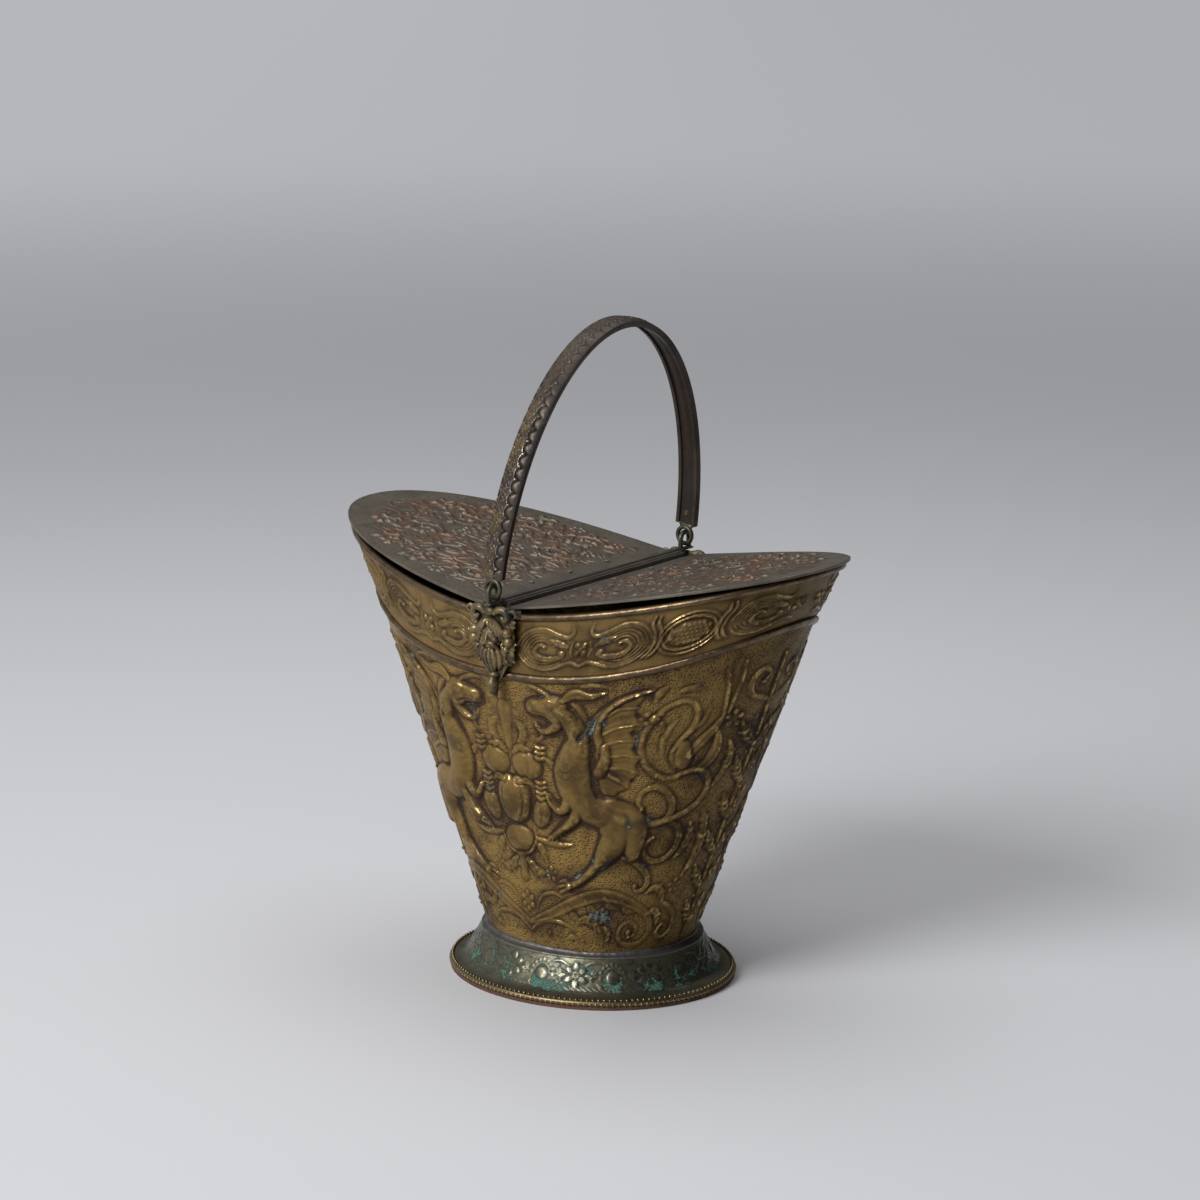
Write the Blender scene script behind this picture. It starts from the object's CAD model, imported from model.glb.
"""The looks of an embossed brass coal scuttle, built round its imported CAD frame."""

import logging
import math
from dataclasses import dataclass, field
from enum import Enum
from typing import ClassVar

import bmesh
import bpy
import numpy as np
from mathutils import Matrix, Vector


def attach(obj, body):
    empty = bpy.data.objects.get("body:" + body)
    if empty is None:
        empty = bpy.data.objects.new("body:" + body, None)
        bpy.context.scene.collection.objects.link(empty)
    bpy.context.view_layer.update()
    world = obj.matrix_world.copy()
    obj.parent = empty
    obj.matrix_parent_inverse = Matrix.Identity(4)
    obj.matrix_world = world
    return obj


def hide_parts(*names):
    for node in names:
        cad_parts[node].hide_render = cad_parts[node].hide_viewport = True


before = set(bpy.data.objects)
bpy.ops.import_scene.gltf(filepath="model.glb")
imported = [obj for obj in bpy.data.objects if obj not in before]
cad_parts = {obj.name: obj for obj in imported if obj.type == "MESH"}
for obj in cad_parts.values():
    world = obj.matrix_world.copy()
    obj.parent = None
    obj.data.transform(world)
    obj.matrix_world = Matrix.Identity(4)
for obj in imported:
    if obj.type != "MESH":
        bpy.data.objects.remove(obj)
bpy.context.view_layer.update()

MM = 0.001
QUARTER_TURN = math.pi / 2
MASKS = ("hollow", "crest", "bare", "zone")
# A fixed direction over the floor, from right to left as the photograph shows the scuttle.
PHOTO_LEFT = (-0.794, -0.607, 0.0)
# Given as a form's sink, it makes the form a part of what it touches.
MERGED = -1.0
log = logging.getLogger("coal_scuttle")

Pair = tuple[float, float]
Triple = tuple[float, float, float]
Path = list[Pair]


class Edge(Enum):
    """How a raised form is rounded across."""

    ROUND = "round"
    FLAT = "flat"
    RIBBON = "ribbon"
    LEAF = "leaf"


class Body(Enum):
    """The moving bodies of the frame."""

    BUCKET = "bucket"
    LID_LEFT = "lid_left"
    LID_RIGHT = "lid_right"
    BAIL = "bail"


# Words that a list of forms may use for a value.
WORDS = {edge.name: edge for edge in Edge} | {"MERGED": MERGED}


# ---- Curves and small sums ------------------------------------------------


def read_value(text: str) -> object:
    """Reads one value of a list of forms: a word, a whole number or a number with a point."""
    return WORDS[text] if text in WORDS else float(text) if "." in text else int(text)


def read_point(text: str) -> tuple:
    """Reads one point of a list of forms."""
    return tuple(read_value(number) for number in text.split(","))


def read_forms(text: str) -> list[list[list]]:
    """Reads a list of forms, such as "leaf 9,196 13,201 | 1.5 3.2 | 1.2 2; dome 4,5 | 3 2 | 1".

    Args:
        text: The forms, parted by ";". The parts of one form are parted by "|".

    Returns:
        For each form its parts, each a list of words, values and points. A point is a tuple.
    """

    def read(word: str) -> object:
        """Reads a name, a setting such as "sink=0", a shift such as "+0,-4", a point or one value."""
        if word[0] == "+" or word[0].islower():
            return word
        return read_point(word) if "," in word else read_value(word)

    return [[[read(word) for word in part.split()] for part in form.split("|")] for form in text.split(";")]


def smooth_path(points: np.ndarray, steps: int, closed: bool = False) -> np.ndarray:
    """Runs a smooth curve through points.

    Args:
        points: The points, one row each, with any number of values.
        steps: How many steps each span gets.
        closed: Whether the curve returns to its first point.

    Returns:
        The curve's points, one row each.
    """
    p = np.asarray(points, dtype=float)
    if closed:
        p = np.vstack([p[-1], p, p[:2]])
    else:
        p = np.vstack([2 * p[0] - p[1], p, 2 * p[-1] - p[-2]])
    u = np.linspace(0, 1, steps, endpoint=False)[:, None]
    spans = [
        0.5 * (2 * b + (c - a) * u + (2 * a - 5 * b + 4 * c - d) * u**2 + (3 * b - a - 3 * c + d) * u**3)
        for a, b, c, d in zip(p[:-3], p[1:-2], p[2:-1], p[3:])
    ]
    curve = np.vstack(spans)
    return curve if closed else np.vstack([curve, p[-2]])


def arc(centre: Pair, a: float, b: float, angles: np.ndarray) -> Path:
    """Lists the points of an oval with half axes a and b at some angles."""
    return [(centre[0] + a * math.cos(angle), centre[1] + b * math.sin(angle)) for angle in angles]


def blur(values: np.ndarray, radius: float) -> np.ndarray:
    """Softens a grid with a bell curve.

    Args:
        values: The grid.
        radius: The bell curve's spread, in cells.

    Returns:
        The softened grid.
    """
    reach = max(1, int(math.ceil(radius * 2.5)))
    offsets = np.arange(-reach, reach + 1)
    weights = np.exp(-0.5 * (offsets / radius) ** 2)
    weights /= weights.sum()
    for axis in (0, 1):
        pad = [(reach, reach) if k == axis else (0, 0) for k in (0, 1)]
        padded = np.pad(values, pad, mode="edge")
        length = values.shape[axis]
        values = sum(w * np.take(padded, np.arange(k, k + length), axis=axis) for k, w in enumerate(weights))
    return values


def signed_power(value: np.ndarray, power: float) -> np.ndarray:
    """Raises a value to a power and keeps its sign."""
    return np.sign(value) * np.abs(value) ** power


def noise_bumps(points: np.ndarray, size: float, seed: int) -> np.ndarray:
    """Gives a soft random value between about -1 and 1 at each point.

    Args:
        points: Places, one row each, in millimetres.
        size: The width of one bump, in millimetres.
        seed: Seed of the waves.

    Returns:
        One value for each point.
    """
    rng = np.random.default_rng(seed)
    total = np.zeros(len(points))
    for _ in range(9):
        direction = rng.normal(size=3)
        direction /= np.linalg.norm(direction)
        wave = rng.uniform(0.7, 1.6) * 2 * math.pi / size
        total += np.sin(points @ direction * wave + rng.uniform(0, 2 * math.pi))
    return total / 4.0


def spiral(centre: Pair, outer: float, inner: float, start: float, turns: float) -> Path:
    """Lists the points of a spiral that winds inwards.

    Args:
        centre: Its middle.
        outer: Radius where it starts.
        inner: Radius where it ends.
        start: Angle where it starts, in degrees.
        turns: Turns, below zero for clockwise.

    Returns:
        Its points.
    """
    count = max(6, int(abs(turns) * 10))
    points = []
    for k in range(count + 1):
        share = k / count
        angle = math.radians(start + 360 * turns * share)
        radius = outer + (inner - outer) * share**0.8
        points.append((centre[0] + radius * math.cos(angle), centre[1] + radius * math.sin(angle)))
    return points


# ---- Chased relief ----------------------------------------------------------


@dataclass
class Relief:
    """A chased height field over a flat pattern, in millimetres."""

    left: float
    right: float
    low: float
    high: float
    step: float = 0.5
    moat: float = 1.5
    chase: float = 0.28
    height: np.ndarray = field(init=False)
    bare: np.ndarray = field(init=False)
    zone: np.ndarray = field(init=False)

    def __post_init__(self) -> None:
        """Starts with a flat field."""
        self.across = np.arange(self.left, self.right + self.step, self.step)
        self.up = np.arange(self.low, self.high + self.step, self.step)
        self.height = np.zeros((len(self.up), len(self.across)))
        self.bare = np.ones_like(self.height)
        self.zone = np.zeros_like(self.height)

    def _window(self, points: np.ndarray, margin: float) -> tuple[tuple, np.ndarray, np.ndarray]:
        """Finds the part of the field that a form can touch.

        Args:
            points: Points of the form.
            margin: How far the form reaches past its points.

        Returns:
            The slices, and the places across and up of their cells.
        """
        first = points.min(axis=0) - margin
        last = points.max(axis=0) + margin
        cols = slice(*np.searchsorted(self.across, (first[0], last[0])))
        rows = slice(*np.searchsorted(self.up, (first[1], last[1])))
        return (rows, cols), *np.meshgrid(self.across[cols], self.up[rows])

    def _lay(
        self,
        window: tuple[slice, slice],
        ratio: np.ndarray,
        outside: np.ndarray,
        height: float,
        edge: Edge,
        sink: float,
    ) -> None:
        """Lays one form on the field, with a chased line round it.

        Args:
            window: Part of the field.
            ratio: 0 at the form's middle, 1 at its edge.
            outside: Distance past its edge.
            height: How far it stands up, below zero for a groove.
            edge: Its rounding.
            sink: Share of what lies below that is pressed down round it.
        """
        old = self.height[window]
        if old.size == 0:
            return
        inside = ratio < 1
        r = np.clip(ratio, 0, 1)
        dome = (1 - r**2) ** 0.66
        if edge is Edge.FLAT:
            form = np.clip((1 - r) / 0.4, 0, 1)
            form = form * (2 - form)
        elif edge is Edge.RIBBON:
            form = np.maximum(0.55 * dome, np.sqrt(np.clip(1 - ((r - 0.66) / 0.34) ** 2, 0, 1)) * 0.95)
        elif edge is Edge.LEAF:
            form = dome * (1 - 0.5 * np.exp(-((r / 0.2) ** 2)))
        else:
            form = dome
        if sink == MERGED:
            ground = old - self.chase * np.exp(-((outside / 0.7) ** 2)) * (old < 0.8)
            self.height[window] = np.where(inside, np.maximum(old, height * form), ground)
            self.bare[window] *= np.clip(outside / 0.7, 0, 1)
            return
        near = np.clip(outside / self.moat, 0, 1)
        near = near * near * (3 - 2 * near)
        base = old * (1 - sink * (1 - near))
        if height > 0 and sink > 0:
            base = base - self.chase * np.exp(-((outside / 0.7) ** 2)) * ~inside
        self.height[window] = np.where(inside, base + height * form, base)
        self.bare[window] *= np.clip(outside / 0.7, 0, 1)

    def stroke(
        self,
        points: Path,
        widths: tuple[float, ...],
        height: float,
        edge: Edge = Edge.ROUND,
        sink: float = 0.5,
    ) -> None:
        """Raises a tapering band along a smooth line.

        Args:
            points: Points of its middle line.
            widths: Half widths, spread evenly along the line.
            height: Height of its middle.
            edge: Its rounding.
            sink: Share of what lies below that is pressed down.
        """
        line = np.asarray(points, dtype=float)
        half = np.interp(np.linspace(0, 1, len(line)), np.linspace(0, 1, len(widths)), widths)
        path = smooth_path(np.column_stack([line, half]), 6)
        window, across, up = self._window(path[:, :2], max(widths) + self.moat + 1)
        ratio = np.full(across.shape, 9.0)
        outside = np.full(across.shape, 99.0)
        for (x1, y1, w1), (x2, y2, w2) in zip(path[:-1], path[1:]):
            dx, dy = x2 - x1, y2 - y1
            share = np.clip(((across - x1) * dx + (up - y1) * dy) / (dx * dx + dy * dy + 1e-9), 0, 1)
            away = np.hypot(across - x1 - share * dx, up - y1 - share * dy)
            width = np.maximum(w1 + (w2 - w1) * share, 0.3)
            ratio = np.minimum(ratio, away / width)
            outside = np.minimum(outside, away - width)
        taper = np.clip(1.2 * max(widths) ** -0.5, 0.4, 1) if len(widths) > 9 else 1
        self._lay(window, ratio, outside, height * taper, edge, sink)

    def dome(
        self,
        centre: Pair,
        radii: Pair,
        height: float,
        turn: float = 0,
        edge: Edge = Edge.ROUND,
        sink: float = 0.5,
    ) -> None:
        """Raises an oval boss.

        Args:
            centre: Its middle.
            radii: Its two half axes.
            height: Height of its middle.
            turn: Turn of the first axis, in degrees.
            edge: Its rounding.
            sink: Share of what lies below that is pressed down.
        """
        window, across, up = self._window(np.array([centre]), max(radii) + self.moat + 1)
        c, s = math.cos(math.radians(turn)), math.sin(math.radians(turn))
        dx, dy = across - centre[0], up - centre[1]
        ratio = np.hypot((c * dx + s * dy) / radii[0], (c * dy - s * dx) / radii[1])
        self._lay(window, ratio, (ratio - 1) * min(radii), height, edge, sink)

    def mass(self, outline: Path, height: float, rounding: float, sink: float = 0.5) -> None:
        """Raises a closed shape with rounded sides.

        Args:
            outline: Points of its outline, joined by a smooth curve.
            height: Height of its middle.
            rounding: Width of the rounded side.
            sink: Share of what lies below that is pressed down.
        """
        path = smooth_path(np.asarray(outline, dtype=float), 5, closed=True)
        window, across, up = self._window(path, self.moat + 1)
        away = np.full(across.shape, 99.0)
        inside = np.zeros(across.shape, dtype=bool)
        for (x1, y1), (x2, y2) in zip(path, np.roll(path, -1, axis=0)):
            dx, dy = x2 - x1, y2 - y1
            share = np.clip(((across - x1) * dx + (up - y1) * dy) / (dx * dx + dy * dy + 1e-9), 0, 1)
            away = np.minimum(away, np.hypot(across - x1 - share * dx, up - y1 - share * dy))
            spans = (y1 > up) != (y2 > up)
            inside ^= spans & (across < x1 + (up - y1) * dx / (dy if dy else 1e-9))
        ratio = np.where(inside, 1 - np.clip(away / rounding, 0, 1), 1.5)
        self._lay(window, ratio, np.where(inside, 0, away), height, Edge.ROUND, sink)

    def leaf(self, points: Path, widths: tuple[float, ...], height: float, lobes: int = 0) -> None:
        """Raises a leaf with a middle groove and lobes along both sides.

        Args:
            points: Points of its middle rib.
            widths: Half widths along it.
            height: Its height.
            lobes: Pairs of side lobes.
        """
        line = smooth_path(np.asarray(points, dtype=float), 8)
        for k in range(lobes):
            place = int((k + 0.6) / (lobes + 0.6) * (len(line) - 2))
            ahead = line[min(place + 2, len(line) - 1)] - line[max(place - 2, 0)]
            ahead /= np.hypot(*ahead)
            width = float(np.interp(place / len(line), np.linspace(0, 1, len(widths)), widths))
            for side in (-1, 1):
                out = np.array([-ahead[1], ahead[0]]) * side
                start = line[place]
                bend = start + out * width * 0.9 + ahead * width * 0.5
                tip = start + out * width * 1.35 + ahead * width * 1.5
                lobe = [tuple(start), tuple(bend), tuple(tip)]
                self.stroke(lobe, (width * 0.42, width * 0.45, width * 0.12), height * 0.75, sink=0.35)
        self.stroke(points, widths, height, Edge.LEAF, sink=0.35)

    def draw(self, forms: str, at: float = 0, way: int = 1) -> None:
        """Raises a list of forms: kind and points | widths, where the kind has any | what follows.

        Args:
            forms: The list, as read_forms takes it. A kind is the name of one of the methods here. A form
                with shifts is drawn once for each of them.
            at: Where the forms' own zero lies across.
            way: 1, or -1 for forms that are mirrored about their own zero.
        """
        for (kind, *points), *widths, more in read_forms(forms):
            words = [word for word in more if isinstance(word, str)]
            shifts = [read_point(word[1:]) for word in words if word[0] == "+"] or [(0, 0)]
            settings = (word.partition("=") for word in words if word[0] != "+")
            named = {name: read_value(value) for name, _, value in settings}
            rest = [value for value in more if not isinstance(value, str)]
            for across, up in shifts:
                moved = [(at + way * (x + across), z + up) for x, z in points]
                place = moved[0] if kind in ("dome", "flower") else moved
                getattr(self, kind)(place, *widths, *rest, **named)

    def scroll(self, points: Path, widths: tuple[float, ...], height: float) -> None:
        """Raises a ribbon scroll that ends in a boss."""
        self.stroke(points, widths, height, Edge.RIBBON)
        self.dome(points[-1], (widths[-1] * 1.5, widths[-1] * 1.5), height, sink=0.2)

    def flower(self, centre: Pair, radius: float, petals: int, height: float) -> None:
        """Raises an open flower with a ringed heart.

        Args:
            centre: Its middle.
            radius: Its radius.
            petals: Number of petals.
            height: Its height.
        """
        for k in range(petals):
            turn = 360 * k / petals + 90
            c, s = math.cos(math.radians(turn)), math.sin(math.radians(turn))
            x, y = centre[0] + 0.62 * radius * c, centre[1] + 0.62 * radius * s
            self.dome((x, y), (0.38 * radius, 0.29 * radius), height, turn, sink=0.35)
            inner = (x - 0.12 * radius * c, y - 0.12 * radius * s)
            self.dome(inner, (0.2 * radius, 0.1 * radius), -0.35 * height, turn, sink=0)
        ring = arc(centre, 0.2 * radius, 0.2 * radius, np.linspace(0, 2 * math.pi, 13))
        self.stroke(ring, (0.09 * radius,) * 2, 0.7 * height, sink=0.4)
        self.dome(centre, (0.1 * radius, 0.1 * radius), 0.4 * height, sink=0)

    def berries(
        self, centre: Pair, radii: Pair, pitch: float, height: float
    ) -> None:
        """Fills an oval with close rows of round berries.

        Args:
            centre: Middle of the oval.
            radii: Its half axes.
            pitch: Distance between berries.
            height: Their height.
        """
        rows = int(radii[1] / (pitch * 0.87)) + 1
        cols = int(radii[0] / pitch) + 1
        for row in range(-rows, rows + 1):
            for col in range(-cols, cols + 1):
                x = (col + 0.5 * (row % 2)) * pitch
                y = row * pitch * 0.87
                if (x / radii[0]) ** 2 + (y / radii[1]) ** 2 < 0.92:
                    self.dome((centre[0] + x, centre[1] + y), (pitch * 0.5, pitch * 0.5), height, sink=0)

    def stain(self, points: Path, width: float) -> None:
        """Marks where corrosion gathers along a line.

        Args:
            points: Points of the line.
            width: How far the stain reaches to both sides.
        """
        path = smooth_path(np.asarray(points, dtype=float), 4)
        window, across, up = self._window(path, 2 * width)
        if across.size == 0:
            return
        away = np.min([np.hypot(across - x, up - y) for x, y in path], axis=0)
        self.zone[window] = np.maximum(self.zone[window], np.exp(-((away / width) ** 2)))

    def masks_at(self, across: np.ndarray, up: np.ndarray) -> dict[str, np.ndarray]:
        """Reads all masks at any places."""
        return {name: self.read(getattr(self, name), across, up) for name in MASKS}

    def finish(self, softness: float = 0.45) -> None:
        """Rounds the whole field off and works out its crests and hollows."""
        self.height = blur(self.height, softness / self.step)
        wide = blur(self.height, 2.2 / self.step)
        self.hollow = np.clip((wide - self.height) / 0.5, 0, 1)
        self.crest = np.clip((self.height - wide) / 0.6, 0, 1)
        self.bare = blur(self.bare, 0.5 / self.step)

    def read(self, grid: np.ndarray, across: np.ndarray, up: np.ndarray) -> np.ndarray:
        """Reads one of the field's grids at any places.

        Args:
            grid: The grid.
            across: Places across.
            up: Places up.

        Returns:
            The values there.
        """
        col = np.clip((across - self.left) / self.step, 0, grid.shape[1] - 1.001)
        row = np.clip((up - self.low) / self.step, 0, grid.shape[0] - 1.001)
        c, r = col.astype(int), row.astype(int)
        fc, fr = col - c, row - r
        top = grid[r, c] * (1 - fc) + grid[r, c + 1] * fc
        bottom = grid[r + 1, c] * (1 - fc) + grid[r + 1, c + 1] * fc
        return top * (1 - fr) + bottom * fr


@dataclass
class Skin:
    """A grid of points with the masks that its material reads."""

    points: np.ndarray
    masks: dict[str, np.ndarray] = field(default_factory=dict)

    def mask(self, name: str) -> np.ndarray:
        """Gives one mask, which is zero where none was set."""
        return np.broadcast_to(self.masks.get(name, 0.0), self.points.shape[:2])


# ---- Meshes ----------------------------------------------------------------


@dataclass
class Shape:
    """Collects vertices, faces and masks, and makes one closed mesh object of them."""

    name: str
    vertices: list[np.ndarray] = field(default_factory=list)
    faces: list[tuple[int, ...]] = field(default_factory=list)
    masks: dict[str, list[np.ndarray]] = field(default_factory=lambda: {name: [] for name in MASKS})
    count: int = 0

    def add_points(self, skin: Skin) -> int:
        """Adds a grid's points and masks, and returns the number of its first vertex."""
        start = self.count
        flat = skin.points.reshape(-1, 3)
        self.vertices.append(flat)
        for key in self.masks:
            self.masks[key].append(skin.mask(key).reshape(-1))
        self.count += len(flat)
        return start

    def add_grid(self, skin: Skin, wrap_rows: bool = False, wrap_cols: bool = False) -> int:
        """Adds a grid with its faces.

        Args:
            skin: The grid.
            wrap_rows: Whether the last row joins the first.
            wrap_cols: Whether the last column joins the first.

        Returns:
            The number of its first vertex.
        """
        start = self.add_points(skin)
        rows, cols = skin.points.shape[:2]
        i = np.arange(rows if wrap_rows else rows - 1)[:, None]
        j = np.arange(cols if wrap_cols else cols - 1)[None, :]
        i2, j2 = (i + 1) % rows, (j + 1) % cols
        quads = np.stack([i * cols + j, i * cols + j2, i2 * cols + j2, i2 * cols + j], axis=-1) + start
        self.faces.extend(map(tuple, quads.reshape(-1, 4).tolist()))
        return start

    def cap(self, start: int, count: int, turned: bool = False) -> None:
        """Closes an end with one face of count vertices, which runs backwards where it is turned."""
        run = tuple(range(start, start + count))
        self.faces.append(run[::-1] if turned else run)

    def build(self, sharp: float = 50) -> bpy.types.Object:
        """Makes the object, with its normals outwards.

        Args:
            sharp: Angle in degrees past which an edge is shaded sharp.

        Returns:
            The new object, linked to the scene.
        """
        mesh = bpy.data.meshes.new(self.name)
        points = np.vstack(self.vertices) * MM
        mesh.from_pydata(points.tolist(), [], self.faces)
        for key, parts in self.masks.items():
            values = np.concatenate(parts).astype(np.float32)
            mesh.attributes.new(key, "FLOAT", "POINT").data.foreach_set("value", values)
        work = bmesh.new()
        work.from_mesh(mesh)
        bmesh.ops.remove_doubles(work, verts=work.verts, dist=1e-6)
        bmesh.ops.recalc_face_normals(work, faces=work.faces)
        work.to_mesh(mesh)
        work.free()
        mesh.shade_smooth()
        mesh.set_sharp_from_angle(angle=math.radians(sharp))
        made = bpy.data.objects.new(self.name, mesh)
        bpy.context.scene.collection.objects.link(made)
        return made


def border(skin: Skin) -> list[list[int]]:
    """Lists the vertices along the four sides of a grid.

    Args:
        skin: The grid.

    Returns:
        Their numbers along the first and last row and the first and last column.
    """
    rows, cols = skin.points.shape[:2]
    grid = np.arange(rows * cols).reshape(rows, cols)
    return [side.tolist() for side in (grid[0], grid[-1], grid[:, 0], grid[:, -1])]


def join_sheet(shape: Shape, outer: Skin, inner: Skin, ratio: int) -> None:
    """Adds both faces of a sheet and closes its four edges.

    Args:
        shape: The shape to add to.
        outer: Outer face.
        inner: Inner face, whose grid is coarser by ratio.
        ratio: Steps of the outer grid for one of the inner.
    """
    a = shape.add_grid(outer)
    b = shape.add_grid(inner)
    for fine, coarse in zip(border(outer), border(inner)):
        for k in range(len(coarse) - 1):
            run = [a + fine[k * ratio + n] for n in range(ratio + 1)]
            shape.faces.append((b + coarse[k], *run, b + coarse[k + 1]))


def tube(shape: Shape, path: np.ndarray, radii: np.ndarray, sides: int = 16, closed: bool = False) -> None:
    """Adds a round bar along a path.

    Args:
        shape: The shape to add to.
        path: Points of its middle line, in millimetres.
        radii: Radius at each point, or two radii, across the plane of the bend and in it.
        sides: Sides of its section.
        closed: Whether it is a ring.
    """
    path = np.asarray(path, dtype=float)
    radii = np.asarray(radii, dtype=float)
    if radii.ndim == 1:
        radii = np.column_stack([radii, radii])
    ahead = np.roll(path, -1, axis=0) - np.roll(path, 1, axis=0)
    if not closed:
        ahead[0] = path[1] - path[0]
        ahead[-1] = path[-1] - path[-2]
    ahead /= np.linalg.norm(ahead, axis=1)[:, None]
    side = np.zeros_like(path)
    guess = np.array([1.0, 0.02, 0.03])
    if abs(ahead[0] @ guess) > 0.9:
        guess = np.array([0.02, 0.03, 1.0])
    for k, direction in enumerate(ahead):
        guess = guess - direction * (guess @ direction)
        guess /= np.linalg.norm(guess)
        side[k] = guess
    up = np.cross(ahead, side)
    angles = np.linspace(0, 2 * math.pi, sides, endpoint=False)
    ring = side[:, None, :] * np.cos(angles)[None, :, None] * radii[:, None, :1]
    ring = ring + up[:, None, :] * np.sin(angles)[None, :, None] * radii[:, None, 1:]
    start = shape.add_grid(Skin(path[:, None, :] + ring), wrap_rows=closed, wrap_cols=True)
    if not closed:
        shape.cap(start, sides, turned=True)
        shape.cap(start + (len(path) - 1) * sides, sides)


def close_rings(name: str, rings: list[np.ndarray]) -> bpy.types.Object:
    """Makes a closed ring-shaped object.

    Args:
        name: Its name.
        rings: Rings of points, in their order round its section.

    Returns:
        The new object.
    """
    shape = Shape(name)
    shape.add_grid(Skin(np.array(rings)), wrap_rows=True, wrap_cols=True)
    return shape.build()


def level_ring(t: np.ndarray, a: float, b: float, z: float) -> np.ndarray:
    """Gives a level oval ring with half axes a and b at height z."""
    return np.stack([a * np.cos(t), b * np.sin(t), np.full(t.shape, z)], axis=-1)


def lengths(points: np.ndarray) -> np.ndarray:
    """Measures how far along a line each of its points lies."""
    return np.concatenate([[0], np.cumsum(np.linalg.norm(np.diff(points, axis=0), axis=1))])


def take_place(
    piece: bpy.types.Object, body: Body, nodes: tuple[str, ...], finish: "Metal"
) -> None:
    """Dresses a finished piece and gives it its place in the frame.

    Args:
        piece: The new piece.
        body: The body that it moves with.
        nodes: CAD nodes that it stands for, none where another piece already does.
        finish: Its metal.
    """
    piece.data.materials.clear()
    piece.data.materials.append(finish.material())
    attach(piece, body.value)
    if nodes:
        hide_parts(*nodes)
    log.info("%s: %d faces", piece.name, len(piece.data.polygons))


# ---- The scuttle's form ----------------------------------------------------


@dataclass(frozen=True)
class Form:
    """The rule of the body's wall, the same as the frame's, in millimetres."""

    fullness: float = 2.14
    bottom: float = 31.1
    bottom_half: Pair = (78.8, 68.7)
    bead_half: Pair = (181.0, 107.8)
    rim_half: Pair = (205.0, 110.5)
    bead_side: float = 246.4
    bead_tip: float = 288.4
    bead_power: float = 2.2
    rim_side: float = 292.8
    rim_tip: float = 332.0
    rim_power: float = 1.47
    rim_wire: float = 2.8

    def oval(self, a: np.ndarray, b: np.ndarray, t: np.ndarray) -> tuple[np.ndarray, np.ndarray]:
        """Gives a point of the full oval with half axes a and b at angle t."""
        power = 2 / self.fullness
        return a * signed_power(np.cos(t), power), b * signed_power(np.sin(t), power)

    def lower_axes(self, z: np.ndarray) -> tuple[np.ndarray, np.ndarray]:
        """Gives the half axes of the lower body at height z."""
        x = (self.bead_half[0] - self.bottom_half[0]) / (self.bead_tip - self.bottom)
        y = (self.bead_half[1] - self.bottom_half[1]) / (self.bead_side - self.bottom)
        return self.bottom_half[0] + x * (z - self.bottom), self.bottom_half[1] + y * (z - self.bottom)

    def upper_axes(self, z: np.ndarray, bead: np.ndarray) -> tuple[np.ndarray, np.ndarray]:
        """Gives the half axes at height z above the bead, which lies at height bead."""
        x = (self.rim_half[0] - self.bead_half[0]) / (self.rim_tip - self.bead_tip)
        y = (self.rim_half[1] - self.bead_half[1]) / (self.rim_side - self.bead_side)
        a, b = self.lower_axes(bead)
        return a + (z - bead) * x, b + (z - bead) * y

    def bead_height(self, t: np.ndarray) -> np.ndarray:
        """Gives the height of the middle bead at angle t."""
        z = np.full(np.shape(t), self.bead_side)
        for _ in range(10):
            share = np.abs(self.oval(self.lower_axes(z)[0], 1, t)[0]) / self.bead_half[0]
            z = self.bead_side + (self.bead_tip - self.bead_side) * share**self.bead_power
        return z

    def rim_height(self, t: np.ndarray) -> np.ndarray:
        """Gives the height of the rim's top at angle t."""
        bead = self.bead_height(t)
        z = np.full(np.shape(t), self.rim_side)
        for _ in range(10):
            share = np.abs(self.oval(self.upper_axes(z, bead)[0], 1, t)[0]) / self.rim_half[0]
            z = self.rim_side + (self.rim_tip - self.rim_side) * share**self.rim_power
        return z

    def wall(self, t: np.ndarray, z: np.ndarray, out: np.ndarray) -> np.ndarray:
        """Gives points of the wall.

        Args:
            t: Angle round the body, 0 at the right tip.
            z: Height.
            out: Distance outside the wall.

        Returns:
            The points, in the last axis.
        """
        bead = self.bead_height(t)
        low, high = self.lower_axes(z), self.upper_axes(z, bead)
        a = np.where(z < bead, low[0], high[0]) + out
        b = np.where(z < bead, low[1], high[1]) + out
        x, y = self.oval(a, b, t)
        return np.stack(np.broadcast_arrays(x, y, z), axis=-1)

    def even_angles(self, height: float, share: float, count: int) -> tuple[np.ndarray, np.ndarray]:
        """Spaces angles evenly along a quarter of the wall, from the front's middle to the right tip.

        Args:
            height: Height where the spacing is measured, or below zero for the upper band.
            share: For the band, the share of its height.
            count: Number of steps.

        Returns:
            The angles and the distances along the wall.
        """
        t = np.linspace(-QUARTER_TURN, 0, 3000)
        if height > 0:
            z = np.full(t.shape, height)
        else:
            z = self.bead_height(t) * (1 - share) + self.rim_height(t) * share
        points = self.wall(t, z, 0)
        along = lengths(points[:, :2])
        even = np.linspace(0, along[-1], count + 1)
        return np.interp(even, along, t), even


FORM = Form()


# ---- Metals ----------------------------------------------------------------


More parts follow.
